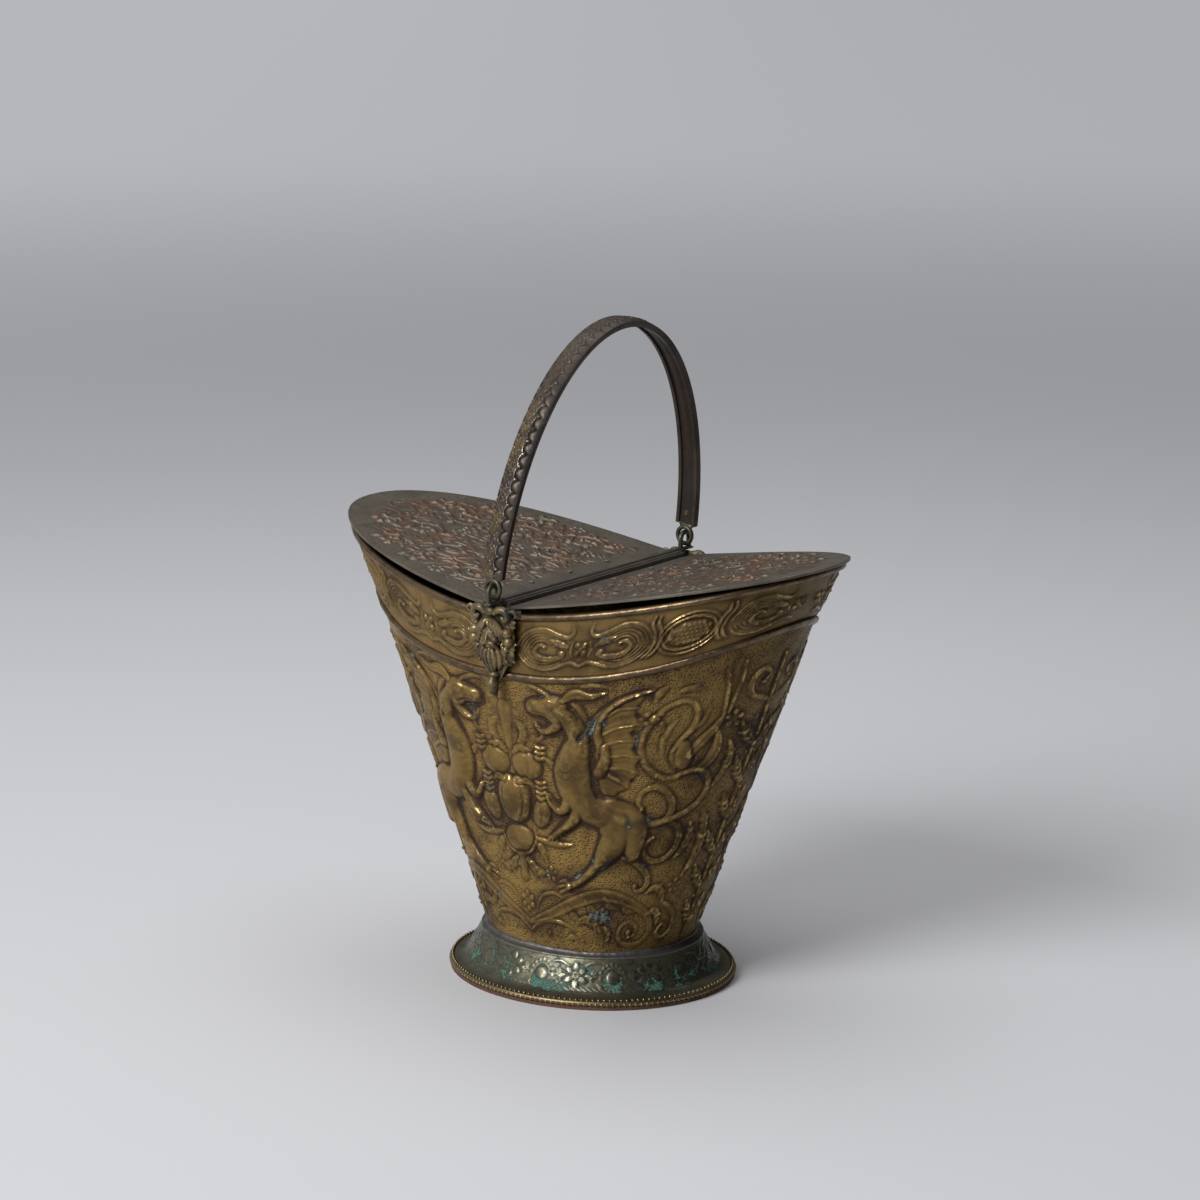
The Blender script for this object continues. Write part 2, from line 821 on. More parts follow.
class Book:
    """Adds nodes to a tree and joins them."""

    def __init__(self, tree: bpy.types.NodeTree) -> None:
        """Starts on an emptied tree."""
        self.tree = tree
        tree.nodes.clear()

    def add(self, kind: str, inputs: dict | None = None, **settings: object) -> bpy.types.Node:
        """Adds one node.

        Args:
            kind: Its type.
            inputs: Values or sockets for its inputs, by name or number.
            settings: Its properties.

        Returns:
            The node.
        """
        node = self.tree.nodes.new(kind)
        for key, value in settings.items():
            setattr(node, key, value)
        for key, value in (inputs or {}).items():
            socket = node.inputs[key]
            if isinstance(value, bpy.types.NodeSocket):
                self.tree.links.new(value, socket)
            else:
                socket.default_value = value
        return node

    def math(self, operation: str, a: object, b: object = 0.0, clamp: bool = False) -> bpy.types.NodeSocket:
        """Adds a sum and returns its result."""
        return self.add("ShaderNodeMath", {0: a, 1: b}, operation=operation, use_clamp=clamp).outputs[0]

    def mix(self, factor: object, a: object, b: object, blend: str = "MIX") -> bpy.types.NodeSocket:
        """Mixes two colours and returns the result."""
        settings = {"data_type": "RGBA", "blend_type": blend}
        return self.add("ShaderNodeMix", {0: factor, 6: a, 7: b}, **settings).outputs[2]

    def ramp(
        self, value: object, low: float, high: float, to_low: float = 0.0, to_high: float = 1.0
    ) -> bpy.types.NodeSocket:
        """Stretches a value from one range to another, with soft ends."""
        inputs = {0: value, 1: low, 2: high, 3: to_low, 4: to_high}
        return self.add("ShaderNodeMapRange", inputs, interpolation_type="SMOOTHSTEP").outputs[0]

    def noise(
        self, place: object, scale: float, detail: float = 3.0, rough: float = 0.55, bend: float = 0.0
    ) -> bpy.types.NodeSocket:
        """Adds a noise and returns its value."""
        inputs = {"Vector": place, "Scale": scale, "Detail": detail, "Roughness": rough, "Distortion": bend}
        return self.add("ShaderNodeTexNoise", inputs).outputs[0]

    def group(self, tree: bpy.types.NodeTree, inputs: dict) -> object:
        """Adds a node group with its inputs set, and returns its outputs."""
        return self.add("ShaderNodeGroup", inputs, node_tree=tree).outputs

    def place(self) -> bpy.types.NodeSocket:
        """Reads the place in the object's own coordinates."""
        return self.add("ShaderNodeTexCoord").outputs["Object"]

    def give(self, results: bpy.types.Node, **values: bpy.types.NodeSocket) -> None:
        """Joins values to the inputs of a group's output node."""
        for key, value in values.items():
            self.tree.links.new(value, results.inputs[key])

    def leftwards(self, place: object) -> bpy.types.NodeSocket:
        """Measures how far a place lies to the left, seen from the photograph's side."""
        inputs = {0: place, 1: PHOTO_LEFT}
        return self.add("ShaderNodeVectorMath", inputs, operation="DOT_PRODUCT").outputs["Value"]

    def mask(self, name: str) -> bpy.types.NodeSocket:
        """Reads one of the mesh's masks."""
        return self.add("ShaderNodeAttribute", attribute_name=name, attribute_type="GEOMETRY").outputs["Fac"]


def new_group(name: str, inputs: dict[str, object], outputs: tuple[str, ...]) -> tuple[Book, object, object]:
    """Starts a shader node group with named inputs and outputs.

    Args:
        name: Name of the group.
        inputs: Default value of each input, four numbers for a colour.
        outputs: Names of the outputs, which are single values except for "Color".

    Returns:
        The book, the group's inputs as sockets, and its output node.
    """
    tree = bpy.data.node_groups.new(name, "ShaderNodeTree")
    for key, value in inputs.items():
        kind = "NodeSocketColor" if isinstance(value, tuple) else "NodeSocketFloat"
        tree.interface.new_socket(key, in_out="INPUT", socket_type=kind).default_value = value
    for key in outputs:
        kind = "NodeSocketColor" if key == "Color" else "NodeSocketFloat"
        tree.interface.new_socket(key, in_out="OUTPUT", socket_type=kind)
    book = Book(tree)
    return book, book.add("NodeGroupInput").outputs, book.add("NodeGroupOutput")


class Effects:
    """The shader groups that the metals share, each built once."""

    def __init__(self) -> None:
        """Builds the groups."""
        self.tarnish = self._tarnish()
        self.verdigris = self._verdigris()
        self.stipple = self._stipple()
        self.wear = self._wear()

    def _scaled(self, book: Book, size: object) -> tuple[bpy.types.NodeSocket, bpy.types.NodeSocket]:
        """Reads the place in the object's own coordinates.

        Args:
            book: The group's book.
            size: The size of one step.

        Returns:
            The place as it is, and the place measured in steps.
        """
        place = book.place()
        scale = book.math("DIVIDE", 1.0, size)
        return place, book.add("ShaderNodeVectorMath", {0: place, 3: scale}, operation="SCALE").outputs[0]

    def _tarnish(self) -> bpy.types.NodeTree:
        """Mixes base, dark and bright metal by patches, hollows and crests."""
        inputs = {"Base": (0.3, 0.2, 0.1, 1), "Dark": (0.1, 0.06, 0.03, 1), "Bright": (0.6, 0.4, 0.2, 1)}
        inputs |= {"Hollow": 0.0, "Crest": 0.0, "Patch Size": 0.03, "Soiling": 0.5}
        book, given, results = new_group("tarnish", inputs, ("Color", "Dull", "Rubbed"))
        place, scaled = self._scaled(book, given["Patch Size"])
        patches = book.noise(scaled, 1.0, 5.0, 0.62, 0.4)
        grains = book.noise(place, 900.0, 3.0, 0.7)
        streaks = book.noise(scaled, 5.0, 4.0, 0.65, 0.8)
        dirt = book.math("ADD", book.ramp(patches, 0.38, 0.68), book.math("MULTIPLY", given["Hollow"], 1.3))
        dirt = book.math("MULTIPLY", dirt, given["Soiling"], clamp=True)
        grit = book.math("MULTIPLY", book.math("SUBTRACT", grains, 0.5), 0.3)
        dirt = book.math("ADD", dirt, grit, clamp=True)
        color = book.mix(dirt, given["Base"], given["Dark"])
        rubbed = book.math("MULTIPLY", given["Crest"], book.ramp(streaks, 0.42, 0.62))
        scuffs = book.math("MULTIPLY", book.ramp(streaks, 0.6, 0.72), 0.2)
        rubbed = book.math("ADD", rubbed, scuffs, clamp=True)
        color = book.mix(rubbed, color, given["Bright"])
        dull = book.math("ADD", 0.45, book.math("MULTIPLY", dirt, 0.6))
        dull = book.math("SUBTRACT", dull, rubbed, clamp=True)
        book.give(results, Color=color, Dull=dull, Rubbed=rubbed)
        return book.tree

    def _verdigris(self) -> bpy.types.NodeTree:
        """Places flecks of blue-green corrosion, most of them in hollows."""
        inputs = {"Amount": 0.1, "Hollow": 0.0, "Zone": 0.0, "Fleck Size": 0.012}
        inputs |= {"Deep": (0.05, 0.13, 0.12, 1), "Pale": (0.2, 0.34, 0.34, 1)}
        book, given, results = new_group("verdigris", inputs, ("Mask", "Halo", "Color"))
        _, scaled = self._scaled(book, given["Fleck Size"])
        areas = book.noise(scaled, 0.28, 2.0, 0.5)
        flecks = book.noise(scaled, 2.2, 5.0, 0.75, 0.5)
        level = book.math("ADD", book.math("MULTIPLY", areas, 0.9), book.math("MULTIPLY", flecks, 0.5))
        level = book.math("ADD", level, book.math("MULTIPLY", given["Hollow"], 0.12))
        level = book.math("ADD", level, book.math("ADD", given["Zone"], given["Amount"]))
        mask = book.ramp(level, 1.0, 1.1)
        tint = book.ramp(book.noise(scaled, 4.0, 3.0), 0.35, 0.65)
        color = book.mix(tint, given["Deep"], given["Pale"])
        book.give(results, Mask=mask, Halo=book.ramp(level, 0.86, 1.04), Color=color)
        return book.tree

    def _stipple(self) -> bpy.types.NodeTree:
        """Gives the height of a matted ground of small punched dots."""
        inputs = {"Pitch": 0.0014, "Ground": 1.0}
        book, given, results = new_group("stippled_ground", inputs, ("Height", "Pit"))
        place = book.place()
        scale = book.math("DIVIDE", 1.0, given["Pitch"])
        dots = book.add("ShaderNodeTexVoronoi", {"Vector": place, "Scale": scale, "Randomness": 0.7})
        shape = book.ramp(dots.outputs["Distance"], 0.12, 0.5)
        height = book.math("MULTIPLY", shape, given["Ground"])
        pit = book.math("MULTIPLY", book.math("SUBTRACT", 1.0, shape), given["Ground"])
        book.give(results, Height=height, Pit=pit)
        return book.tree

    def _wear(self) -> bpy.types.NodeTree:
        """Gives the height of dents, pits and fine scratches."""
        book, given, results = new_group("worn_surface", {"Dents": 1.0, "Pits": 1.0}, ("Height",))
        place = book.place()
        dents = book.math("MULTIPLY", book.noise(place, 90.0, 2.0, 0.5), given["Dents"])
        pits = book.math("MULTIPLY", book.noise(place, 1100.0, 4.0, 0.65), given["Pits"])
        book.give(results, Height=book.math("ADD", dents, book.math("MULTIPLY", pits, 0.12)))
        return book.tree


@dataclass(frozen=True)
class Metal:
    """One metal of the scuttle, aged as the real one is."""

    # How much dirt the punched dots hold, and how the crust and the dark halo round it look.
    PIT_DIRT: ClassVar[float] = 0.36
    CRUST_HEIGHT: ClassVar[float] = 0.25
    CRUST_ROUGHNESS: ClassVar[float] = 0.8
    HALO_SHARE: ClassVar[float] = 0.65
    HALO_COLOR: ClassVar[tuple[float, float, float, float]] = (0.03, 0.032, 0.034, 1)
    name: str
    base: Triple
    dark: Triple
    bright: Triple
    polish: float = 0.34
    dullness: float = 0.62
    patch: float = 0.03
    soiling: float = 0.55
    green: float = -0.1
    fleck: float = 0.012
    pitch: float = 0.0014
    stipple: float = 0.0
    dents: float = 0.5
    pits: float = 1.0
    bump: float = 0.0005
    metallic: float = 1.0
    raised: float = 1.0
    sheen: float = 0.4
    gather: float = 1.0
    zone_green: float = 0.3
    zone_color: Triple | None = None
    crust_deep: Triple = (0.05, 0.12, 0.12)
    crust_pale: Triple = (0.22, 0.36, 0.37)

    def material(self) -> bpy.types.Material:
        """Returns this metal's material, which is built the first time."""
        known = bpy.data.materials.get(self.name)
        if known:
            return known
        made = bpy.data.materials.new(self.name)
        made.use_nodes = True
        book = Book(made.node_tree)
        hollow, crest, bare, zone = (book.mask(key) for key in MASKS)
        stipple = book.group(EFFECTS.stipple, {"Pitch": self.pitch, "Ground": bare})
        pits = book.math("MULTIPLY", stipple["Pit"], self.stipple * self.PIT_DIRT)
        dirty = book.math("MAXIMUM", hollow, pits)
        given = {"Base": (*self.base, 1), "Dark": (*self.dark, 1), "Bright": (*self.bright, 1)}
        given |= {"Patch Size": self.patch, "Soiling": self.soiling, "Hollow": dirty, "Crest": crest}
        tarnish = book.group(EFFECTS.tarnish, given)
        given = {"Amount": self.green, "Fleck Size": self.fleck}
        given["Hollow"] = book.math("MULTIPLY", hollow, self.gather)
        given |= {"Deep": (*self.crust_deep, 1), "Pale": (*self.crust_pale, 1)}
        given["Zone"] = book.math("MULTIPLY", zone, self.zone_green)
        green = book.group(EFFECTS.verdigris, given)
        color = tarnish["Color"]
        if self.zone_color:
            place = book.place()
            areas = book.ramp(book.noise(place, 42.0, 3.0), 0.42, 0.62, 0.1, 1.0)
            flecks = book.ramp(book.noise(place, 260.0, 4.0, 0.7, 0.3), 0.36, 0.6, 0.3, 0.95)
            share = book.math("MULTIPLY", zone, book.math("MULTIPLY", areas, flecks))
            color = book.mix(share, color, (*self.zone_color, 1))
        if self.raised < 1:
            kept = book.ramp(bare, 0.0, 1.0, self.raised, 1.0)
            shade = book.add("ShaderNodeCombineColor", {0: kept, 1: kept, 2: kept}).outputs[0]
            color = book.mix(1.0, color, shade, "MULTIPLY")
        halo = book.math("MULTIPLY", green["Halo"], self.HALO_SHARE)
        color = book.mix(halo, color, self.HALO_COLOR)
        wear = book.group(EFFECTS.wear, {"Dents": self.dents, "Pits": self.pits})
        crust = green["Mask"]
        height = book.math("ADD", wear["Height"], book.math("MULTIPLY", stipple["Height"], self.stipple))
        height = book.math("ADD", height, book.math("MULTIPLY", crust, self.CRUST_HEIGHT))
        rough = book.ramp(tarnish["Dull"], 0.0, 1.0, self.polish, self.dullness)
        metallic = book.ramp(tarnish["Rubbed"], 0.0, 0.8, self.metallic, 1.0)
        clean = book.math("SUBTRACT", 1.0, book.math("MULTIPLY", crust, 0.9))
        look = {
            "Base Color": book.mix(crust, color, green["Color"]),
            "Metallic": book.math("MULTIPLY", clean, metallic),
            "Roughness": book.math("MAXIMUM", rough, book.math("MULTIPLY", crust, self.CRUST_ROUGHNESS)),
            "Specular IOR Level": self.sheen,
        }
        bump = book.add("ShaderNodeBump", {"Height": height, "Distance": self.bump, "Strength": 1.0})
        shader = book.add("ShaderNodeBsdfPrincipled", look | {"Normal": bump.outputs[0]})
        book.add("ShaderNodeOutputMaterial", {"Surface": shader.outputs[0]})
        return made


EFFECTS = Effects()

BODY_BRASS = Metal(
    "embossed_brass_patina", (0.30, 0.19, 0.061), (0.066, 0.039, 0.024), (0.50, 0.34, 0.13),
    polish=0.24, dullness=0.48, patch=0.035, soiling=0.72, green=0.045, fleck=0.007, pitch=0.0018,
    stipple=1.3, metallic=0.3, raised=0.74, sheen=0.08, zone_green=0.21,
    crust_deep=(0.075, 0.11, 0.105), crust_pale=(0.23, 0.31, 0.30),
)
BAND_BRASS = Metal(
    "band_brass_patina", (0.238, 0.153, 0.057), (0.06, 0.037, 0.017), (0.38, 0.27, 0.12),
    polish=0.25, dullness=0.5, patch=0.04, soiling=0.65, green=0.02, stipple=0.2,
    metallic=0.3, raised=0.85, sheen=0.12,
)
FOOT_BRASS = Metal(
    "foot_dark_brass", (0.145, 0.14, 0.092), (0.058, 0.058, 0.04), (0.21, 0.205, 0.16),
    polish=0.25, dullness=0.42, patch=0.03, soiling=0.55, green=0.09, fleck=0.0042, dents=0.9, pits=0.5,
    gather=1.6, zone_green=0.12, metallic=0.75, sheen=0.35,
    crust_deep=(0.045, 0.095, 0.07), crust_pale=(0.09, 0.225, 0.165),
)
EDGE_BRASS = Metal(
    "bead_row_brass", (0.24, 0.18, 0.10), (0.08, 0.058, 0.034), (0.56, 0.45, 0.26),
    polish=0.26, dullness=0.5, patch=0.02, soiling=0.5, green=0.02,
)
TRIM_COPPER = Metal(
    "rim_copper_trim", (0.17, 0.118, 0.066), (0.055, 0.038, 0.026), (0.50, 0.42, 0.32),
    polish=0.2, dullness=0.42, patch=0.01, soiling=0.75, green=0.02, dents=1.6, metallic=0.9, sheen=0.15,
)
SOLDER = Metal(
    "old_solder", (0.16, 0.155, 0.145), (0.065, 0.06, 0.054), (0.36, 0.36, 0.34),
    polish=0.36, dullness=0.6, patch=0.012, soiling=0.6, green=0.0, dents=1.4, metallic=0.8,
)
BAIL_BRONZE = Metal(
    "bail_dark_bronze", (0.08, 0.063, 0.052), (0.03, 0.025, 0.022), (0.36, 0.31, 0.26),
    polish=0.27, dullness=0.46, patch=0.03, soiling=0.6, green=-0.04, metallic=0.4, sheen=0.14,
    zone_green=0.0, zone_color=(0.13, 0.092, 0.045),
)
STRIP_BRONZE = Metal(
    "bail_strip_dark_bronze", (0.045, 0.041, 0.037), (0.02, 0.019, 0.018), (0.10, 0.09, 0.08),
    polish=0.4, dullness=0.6, patch=0.03, soiling=0.5, green=-0.06, metallic=0.6, zone_green=0.0,
    zone_color=(0.11, 0.055, 0.036),
)
EYE_BRONZE = Metal(
    "eye_green_bronze", (0.105, 0.10, 0.065), (0.04, 0.042, 0.034), (0.34, 0.30, 0.17),
    polish=0.3, dullness=0.55, patch=0.008, soiling=0.55, green=0.12, fleck=0.006, metallic=0.75,
    crust_deep=(0.05, 0.085, 0.07), crust_pale=(0.11, 0.18, 0.155),
)
BAR_BRONZE = Metal(
    "bar_dark_bronze", (0.155, 0.138, 0.118), (0.06, 0.054, 0.047), (0.32, 0.29, 0.26),
    polish=0.3, dullness=0.52, patch=0.03, soiling=0.4, green=-0.02, metallic=0.3, sheen=0.3,
)
CAST_BRASS = Metal(
    "cast_mount_brass", (0.25, 0.185, 0.09), (0.036, 0.028, 0.02), (0.66, 0.54, 0.31),
    polish=0.2, dullness=0.5, patch=0.015, soiling=0.85, green=-0.02, fleck=0.007, metallic=0.6, sheen=0.2,
    zone_green=0.2, zone_color=(0.075, 0.08, 0.06),
    crust_deep=(0.045, 0.065, 0.055), crust_pale=(0.12, 0.17, 0.15),
)
LID_COPPER = Metal(
    "lid_red_brown_copper", (0.195, 0.168, 0.132), (0.07, 0.058, 0.046), (0.27, 0.215, 0.15),
    polish=0.32, dullness=0.52, patch=0.02, soiling=0.55, green=-0.02, pitch=0.0016, stipple=0.4,
    zone_green=0.0, zone_color=(0.19, 0.105, 0.067), metallic=0.85,
)
IRON = Metal(
    "old_iron", (0.16, 0.085, 0.058), (0.07, 0.04, 0.03), (0.28, 0.19, 0.15),
    polish=0.42, dullness=0.72, patch=0.012, soiling=0.5, green=-0.3, pits=2.0, metallic=0.5,
)


# ---- Foot --------------------------------------------------------------------


@dataclass
class Foot:
    """The spreading foot: embossed skirt, beaded edge, base ring and solder."""

    edge_half: Pair = (108.7, 95.8)
    neck_half: Pair = (87.4, 75.7)
    outline_half: Pair = (111.8, 98.9)
    skirt_low: float = 2.6
    height: float = 31.0
    wall: float = 1.2
    ledge: float = 16.0
    solder_height: float = 6.0
    bead_pitch: float = 4.2
    steps: int = 640
    slope_rows: int = 92
    repeats: int = 10
    edge_low: float = 2.6
    edge_high: float = 6.6
    edge_depth: float = 3.0
    solder_gap: float = 0.1
    relief_share: float = 0.38
    spacing_half: Pair = (98.0, 86.0)
    # Where the flower and the boss stand in one repeat, and how many small leaves lie below them.
    FLOWER_SHARE: ClassVar[float] = 0.27
    BOSS_SHARE: ClassVar[float] = 0.77
    SMALL_LEAVES: ClassVar[int] = 26
    profile: tuple[Pair, ...] = (
        (0, 0), (0, 0.12), (0.05, 0.145), (0.24, 0.17), (0.42, 0.235),
        (0.56, 0.37), (0.68, 0.53), (0.80, 0.71), (0.92, 0.88), (1, 1),
    )

    def _relief(self, length: float) -> Relief:
        """Chases one repeat of the skirt: a flower, a boss in arches, and leaves.

        Args:
            length: Length of the repeat at the middle of the slope.

        Returns:
            The field, with its height measured up the slope.
        """
        f = Relief(0, length, 0, 40, step=0.35, moat=1.0, chase=0.3)
        for shift in (0, -length, length):
            x = length * self.BOSS_SHARE + shift
            for k in range(9):
                (spot,) = arc((x, 24.5), 9.4, 9.6, [math.radians(180 - 22.5 * k)])
                f.dome(spot, (1.7, 1.7), 0.8, sink=0.2)
                f.dome(spot, (0.7, 0.7), -0.7, sink=0)
            f.stroke(arc((x, 24.5), 6.9, 7.2, np.linspace(math.pi, 0, 9)), (0.6, 0.6), 0.7)
            f.dome((x, 24.0), (5.6, 5.4), 2.1)
            for side in (-1, 1):
                f.draw("leaf 3,18 8,17 12,19.5 | 1 1.9 .6 | .8 2", x, side)
            x = length * self.FLOWER_SHARE + shift
            for side in (-1, 1):
                for turn, size in ((0.35, 8.5), (-0.05, 9.5), (-0.5, 7.0)):
                    tip = (x + side * (8 + size * math.cos(turn)), 25.5 + size * math.sin(turn))
                    middle = (x + side * (8 + size * 0.5), 25.5 + size * 0.35 * math.sin(turn))
                    f.leaf([(x + side * 8, 25.5), middle, tip], (1.0, 2.1, 0.4), 1.0, 3)
                f.draw("stroke 6,32 13,35 20,34.5 | .5 1.1 .4 | .6", x, side)
            f.flower((x, 25.6), 10.2, 6, 1.5)
        for k in range(self.SMALL_LEAVES):
            x, y = length * k / self.SMALL_LEAVES, 16.5 + 0.8 * (k % 2)
            f.leaf([(x, y), (x + 1.4, y - 1.6), (x + 3.4, y - 2.2)], (0.5, 0.8, 0.3), 0.7)
        f.finish(0.3)
        return f

    def _slope(self, t: np.ndarray, count: int) -> Skin:
        """Builds the skirt's outer face.

        Args:
            t: Angles round the foot.
            count: Steps up the slope.

        Returns:
            The grid, rows upwards.
        """
        profile = np.array(self.profile)
        fine = smooth_path(profile[2:], 12)
        way_in = np.concatenate([[0, 0], fine[:, 0]])
        way_up = np.concatenate([[0, 0.12], fine[:, 1]])
        run = (self.edge_half[0] - self.neck_half[0]) * way_in
        rise = (self.height - self.skirt_low) * way_up
        along = lengths(np.column_stack([run, rise]))
        even = np.linspace(0, along[-1], count)
        run, rise = np.interp(even, along, run), np.interp(even, along, rise)
        slope = np.gradient(rise, even), -np.gradient(run, even)
        around = lengths(level_ring(t, *self.spacing_half, 0))
        around = around / around[-1] * self.repeats
        length = math.pi * sum(self.spacing_half) / self.repeats
        pattern = self._relief(length)
        spot = np.broadcast_to((around % 1) * length, (count, len(t)))
        up = np.broadcast_to(even[:, None], spot.shape)
        height = self.relief_share * pattern.read(pattern.height, spot, up)
        out = -run[:, None] + height * slope[0][:, None]
        x = (self.edge_half[0] + out) * np.cos(t)
        y = (self.edge_half[1] + out) * np.sin(t)
        z = self.skirt_low + rise[:, None] - height * slope[1][:, None]
        masks = pattern.masks_at(spot, up)
        masks["zone"] = np.exp(-(((up - 16.5) / 5) ** 2)) + 0.5 * np.exp(-(((up - 30) / 7) ** 2))
        return Skin(np.stack([x, y, z], axis=-1), masks)

    def build(self) -> None:
        """Builds and dresses the foot."""
        t = np.linspace(0, 2 * math.pi, self.steps, endpoint=False)
        outer = self._slope(t, self.slope_rows)
        shape = Shape("foot_skirt_embossed")
        start = shape.add_grid(outer, wrap_cols=True)
        back = []
        for way_in, way_up in reversed(self.profile):
            a = self.edge_half[0] + (self.neck_half[0] - self.edge_half[0]) * way_in - self.wall
            b = self.edge_half[1] + (self.neck_half[1] - self.edge_half[1]) * way_in - self.wall
            drop = self.wall if way_up > 0.13 else 0
            z = self.skirt_low + (self.height - self.skirt_low) * way_up - drop
            back.append(level_ring(t, a, b, z))
        ledge = [half - self.ledge for half in self.neck_half]
        rings = [level_ring(t, *ledge, z) for z in (self.height, self.height - self.wall)]
        inside = shape.add_grid(Skin(np.array(rings + back)), wrap_cols=True)
        rows = len(rings) + len(back)
        top, count = start + (self.slope_rows - 1) * self.steps, self.steps
        for k in range(count):
            n = (k + 1) % count
            shape.faces.append((top + k, top + n, inside + n, inside + k))
            last = inside + (rows - 1) * count
            shape.faces.append((start + n, start + k, last + k, last + n))
        take_place(shape.build(), Body.BUCKET, ("foot_skirt",), FOOT_BRASS)
        self._beaded_edge()
        self._solder()
        dress_node("foot_base_ring", IRON)

    def _beaded_edge(self) -> None:
        """Builds the plain edge roll and sets two rows of beads on it with Geometry Nodes."""
        t = np.linspace(0, 2 * math.pi, 360, endpoint=False)
        rings = []
        for a, out in [(90, 0.0), (60, 0.45), (25, 0.62), (-25, 0.62), (-60, 0.45), (-90, 0.0)]:
            inset = 1.5 * (1 - math.cos(math.radians(a))) + 0.75 - out
            z = self.edge_low + (self.edge_high - self.edge_low) * (1 + math.sin(math.radians(a))) / 2
            rings.append(self._ring(t, inset, z))
        rings += [self._ring(t, self.edge_depth, z) for z in (self.edge_low, self.edge_high)]
        roll = close_rings("foot_edge_roll", rings)
        take_place(roll, Body.BUCKET, ("foot_beaded_edge",), EDGE_BRASS)
        around = math.pi * (self.outline_half[0] + self.outline_half[1])
        rows = (
            ("foot_bead_row_low", 1.15, 4.0, (1.5, 1.8, 1.5), 0.0),
            ("foot_bead_row_high", 2.4, 6.7, (1.15, 1.5, 1.1), 0.5),
        )
        for name, inset, z, radii, shift in rows:
            row = BeadRow(
                name,
                (self.outline_half[0] - inset, self.outline_half[1] - inset),
                z, int(around / self.bead_pitch), radii, shift,
            )
            take_place(row.build(EDGE_BRASS), Body.BUCKET, (), EDGE_BRASS)

    def _ring(self, t: np.ndarray, inset: float, z: float) -> np.ndarray:
        """Gives one ring of the foot's edge, drawn in by inset."""
        return level_ring(t, self.outline_half[0] - inset, self.outline_half[1] - inset, z)

    def _solder(self) -> None:
        """Builds the uneven fillet of solder at the neck."""
        t = np.linspace(0, 2 * math.pi, 600, endpoint=False)
        low = self.height + self.solder_gap
        spots = FORM.wall(t, np.full(t.shape, low), 0)
        lumps = noise_bumps(spots, 26, 5)
        fine = noise_bumps(spots, 7, 6)
        rings = [FORM.wall(t, np.full(t.shape, low), self.solder_gap)]
        top = low + self.solder_height - 1.6 + 0.7 * lumps
        rings.append(FORM.wall(t, top, self.solder_gap))
        rings.append(FORM.wall(t, top - 0.3, 0.9 + 0.1 * fine))
        shares = ((0.5, 1.3), (0.4, 2.1), (0.3, 3.4), (0.22, 4.8))
        for k, (share, out) in enumerate(shares):
            z = low + self.solder_height * share + 0.25 * lumps * (1 - k / 4)
            rings.append(FORM.wall(t, z, out + 0.25 * fine))
        for inset, share in ((0.5, 0.2), (0.1, 0.08), (0.1, 0.0)):
            half = (self.neck_half[0] - inset, self.neck_half[1] - inset)
            rings.append(level_ring(t, *half, low + self.solder_height * share))
        fillet = close_rings("neck_solder_fillet", rings)
        take_place(fillet, Body.BUCKET, ("neck_solder_ring",), SOLDER)


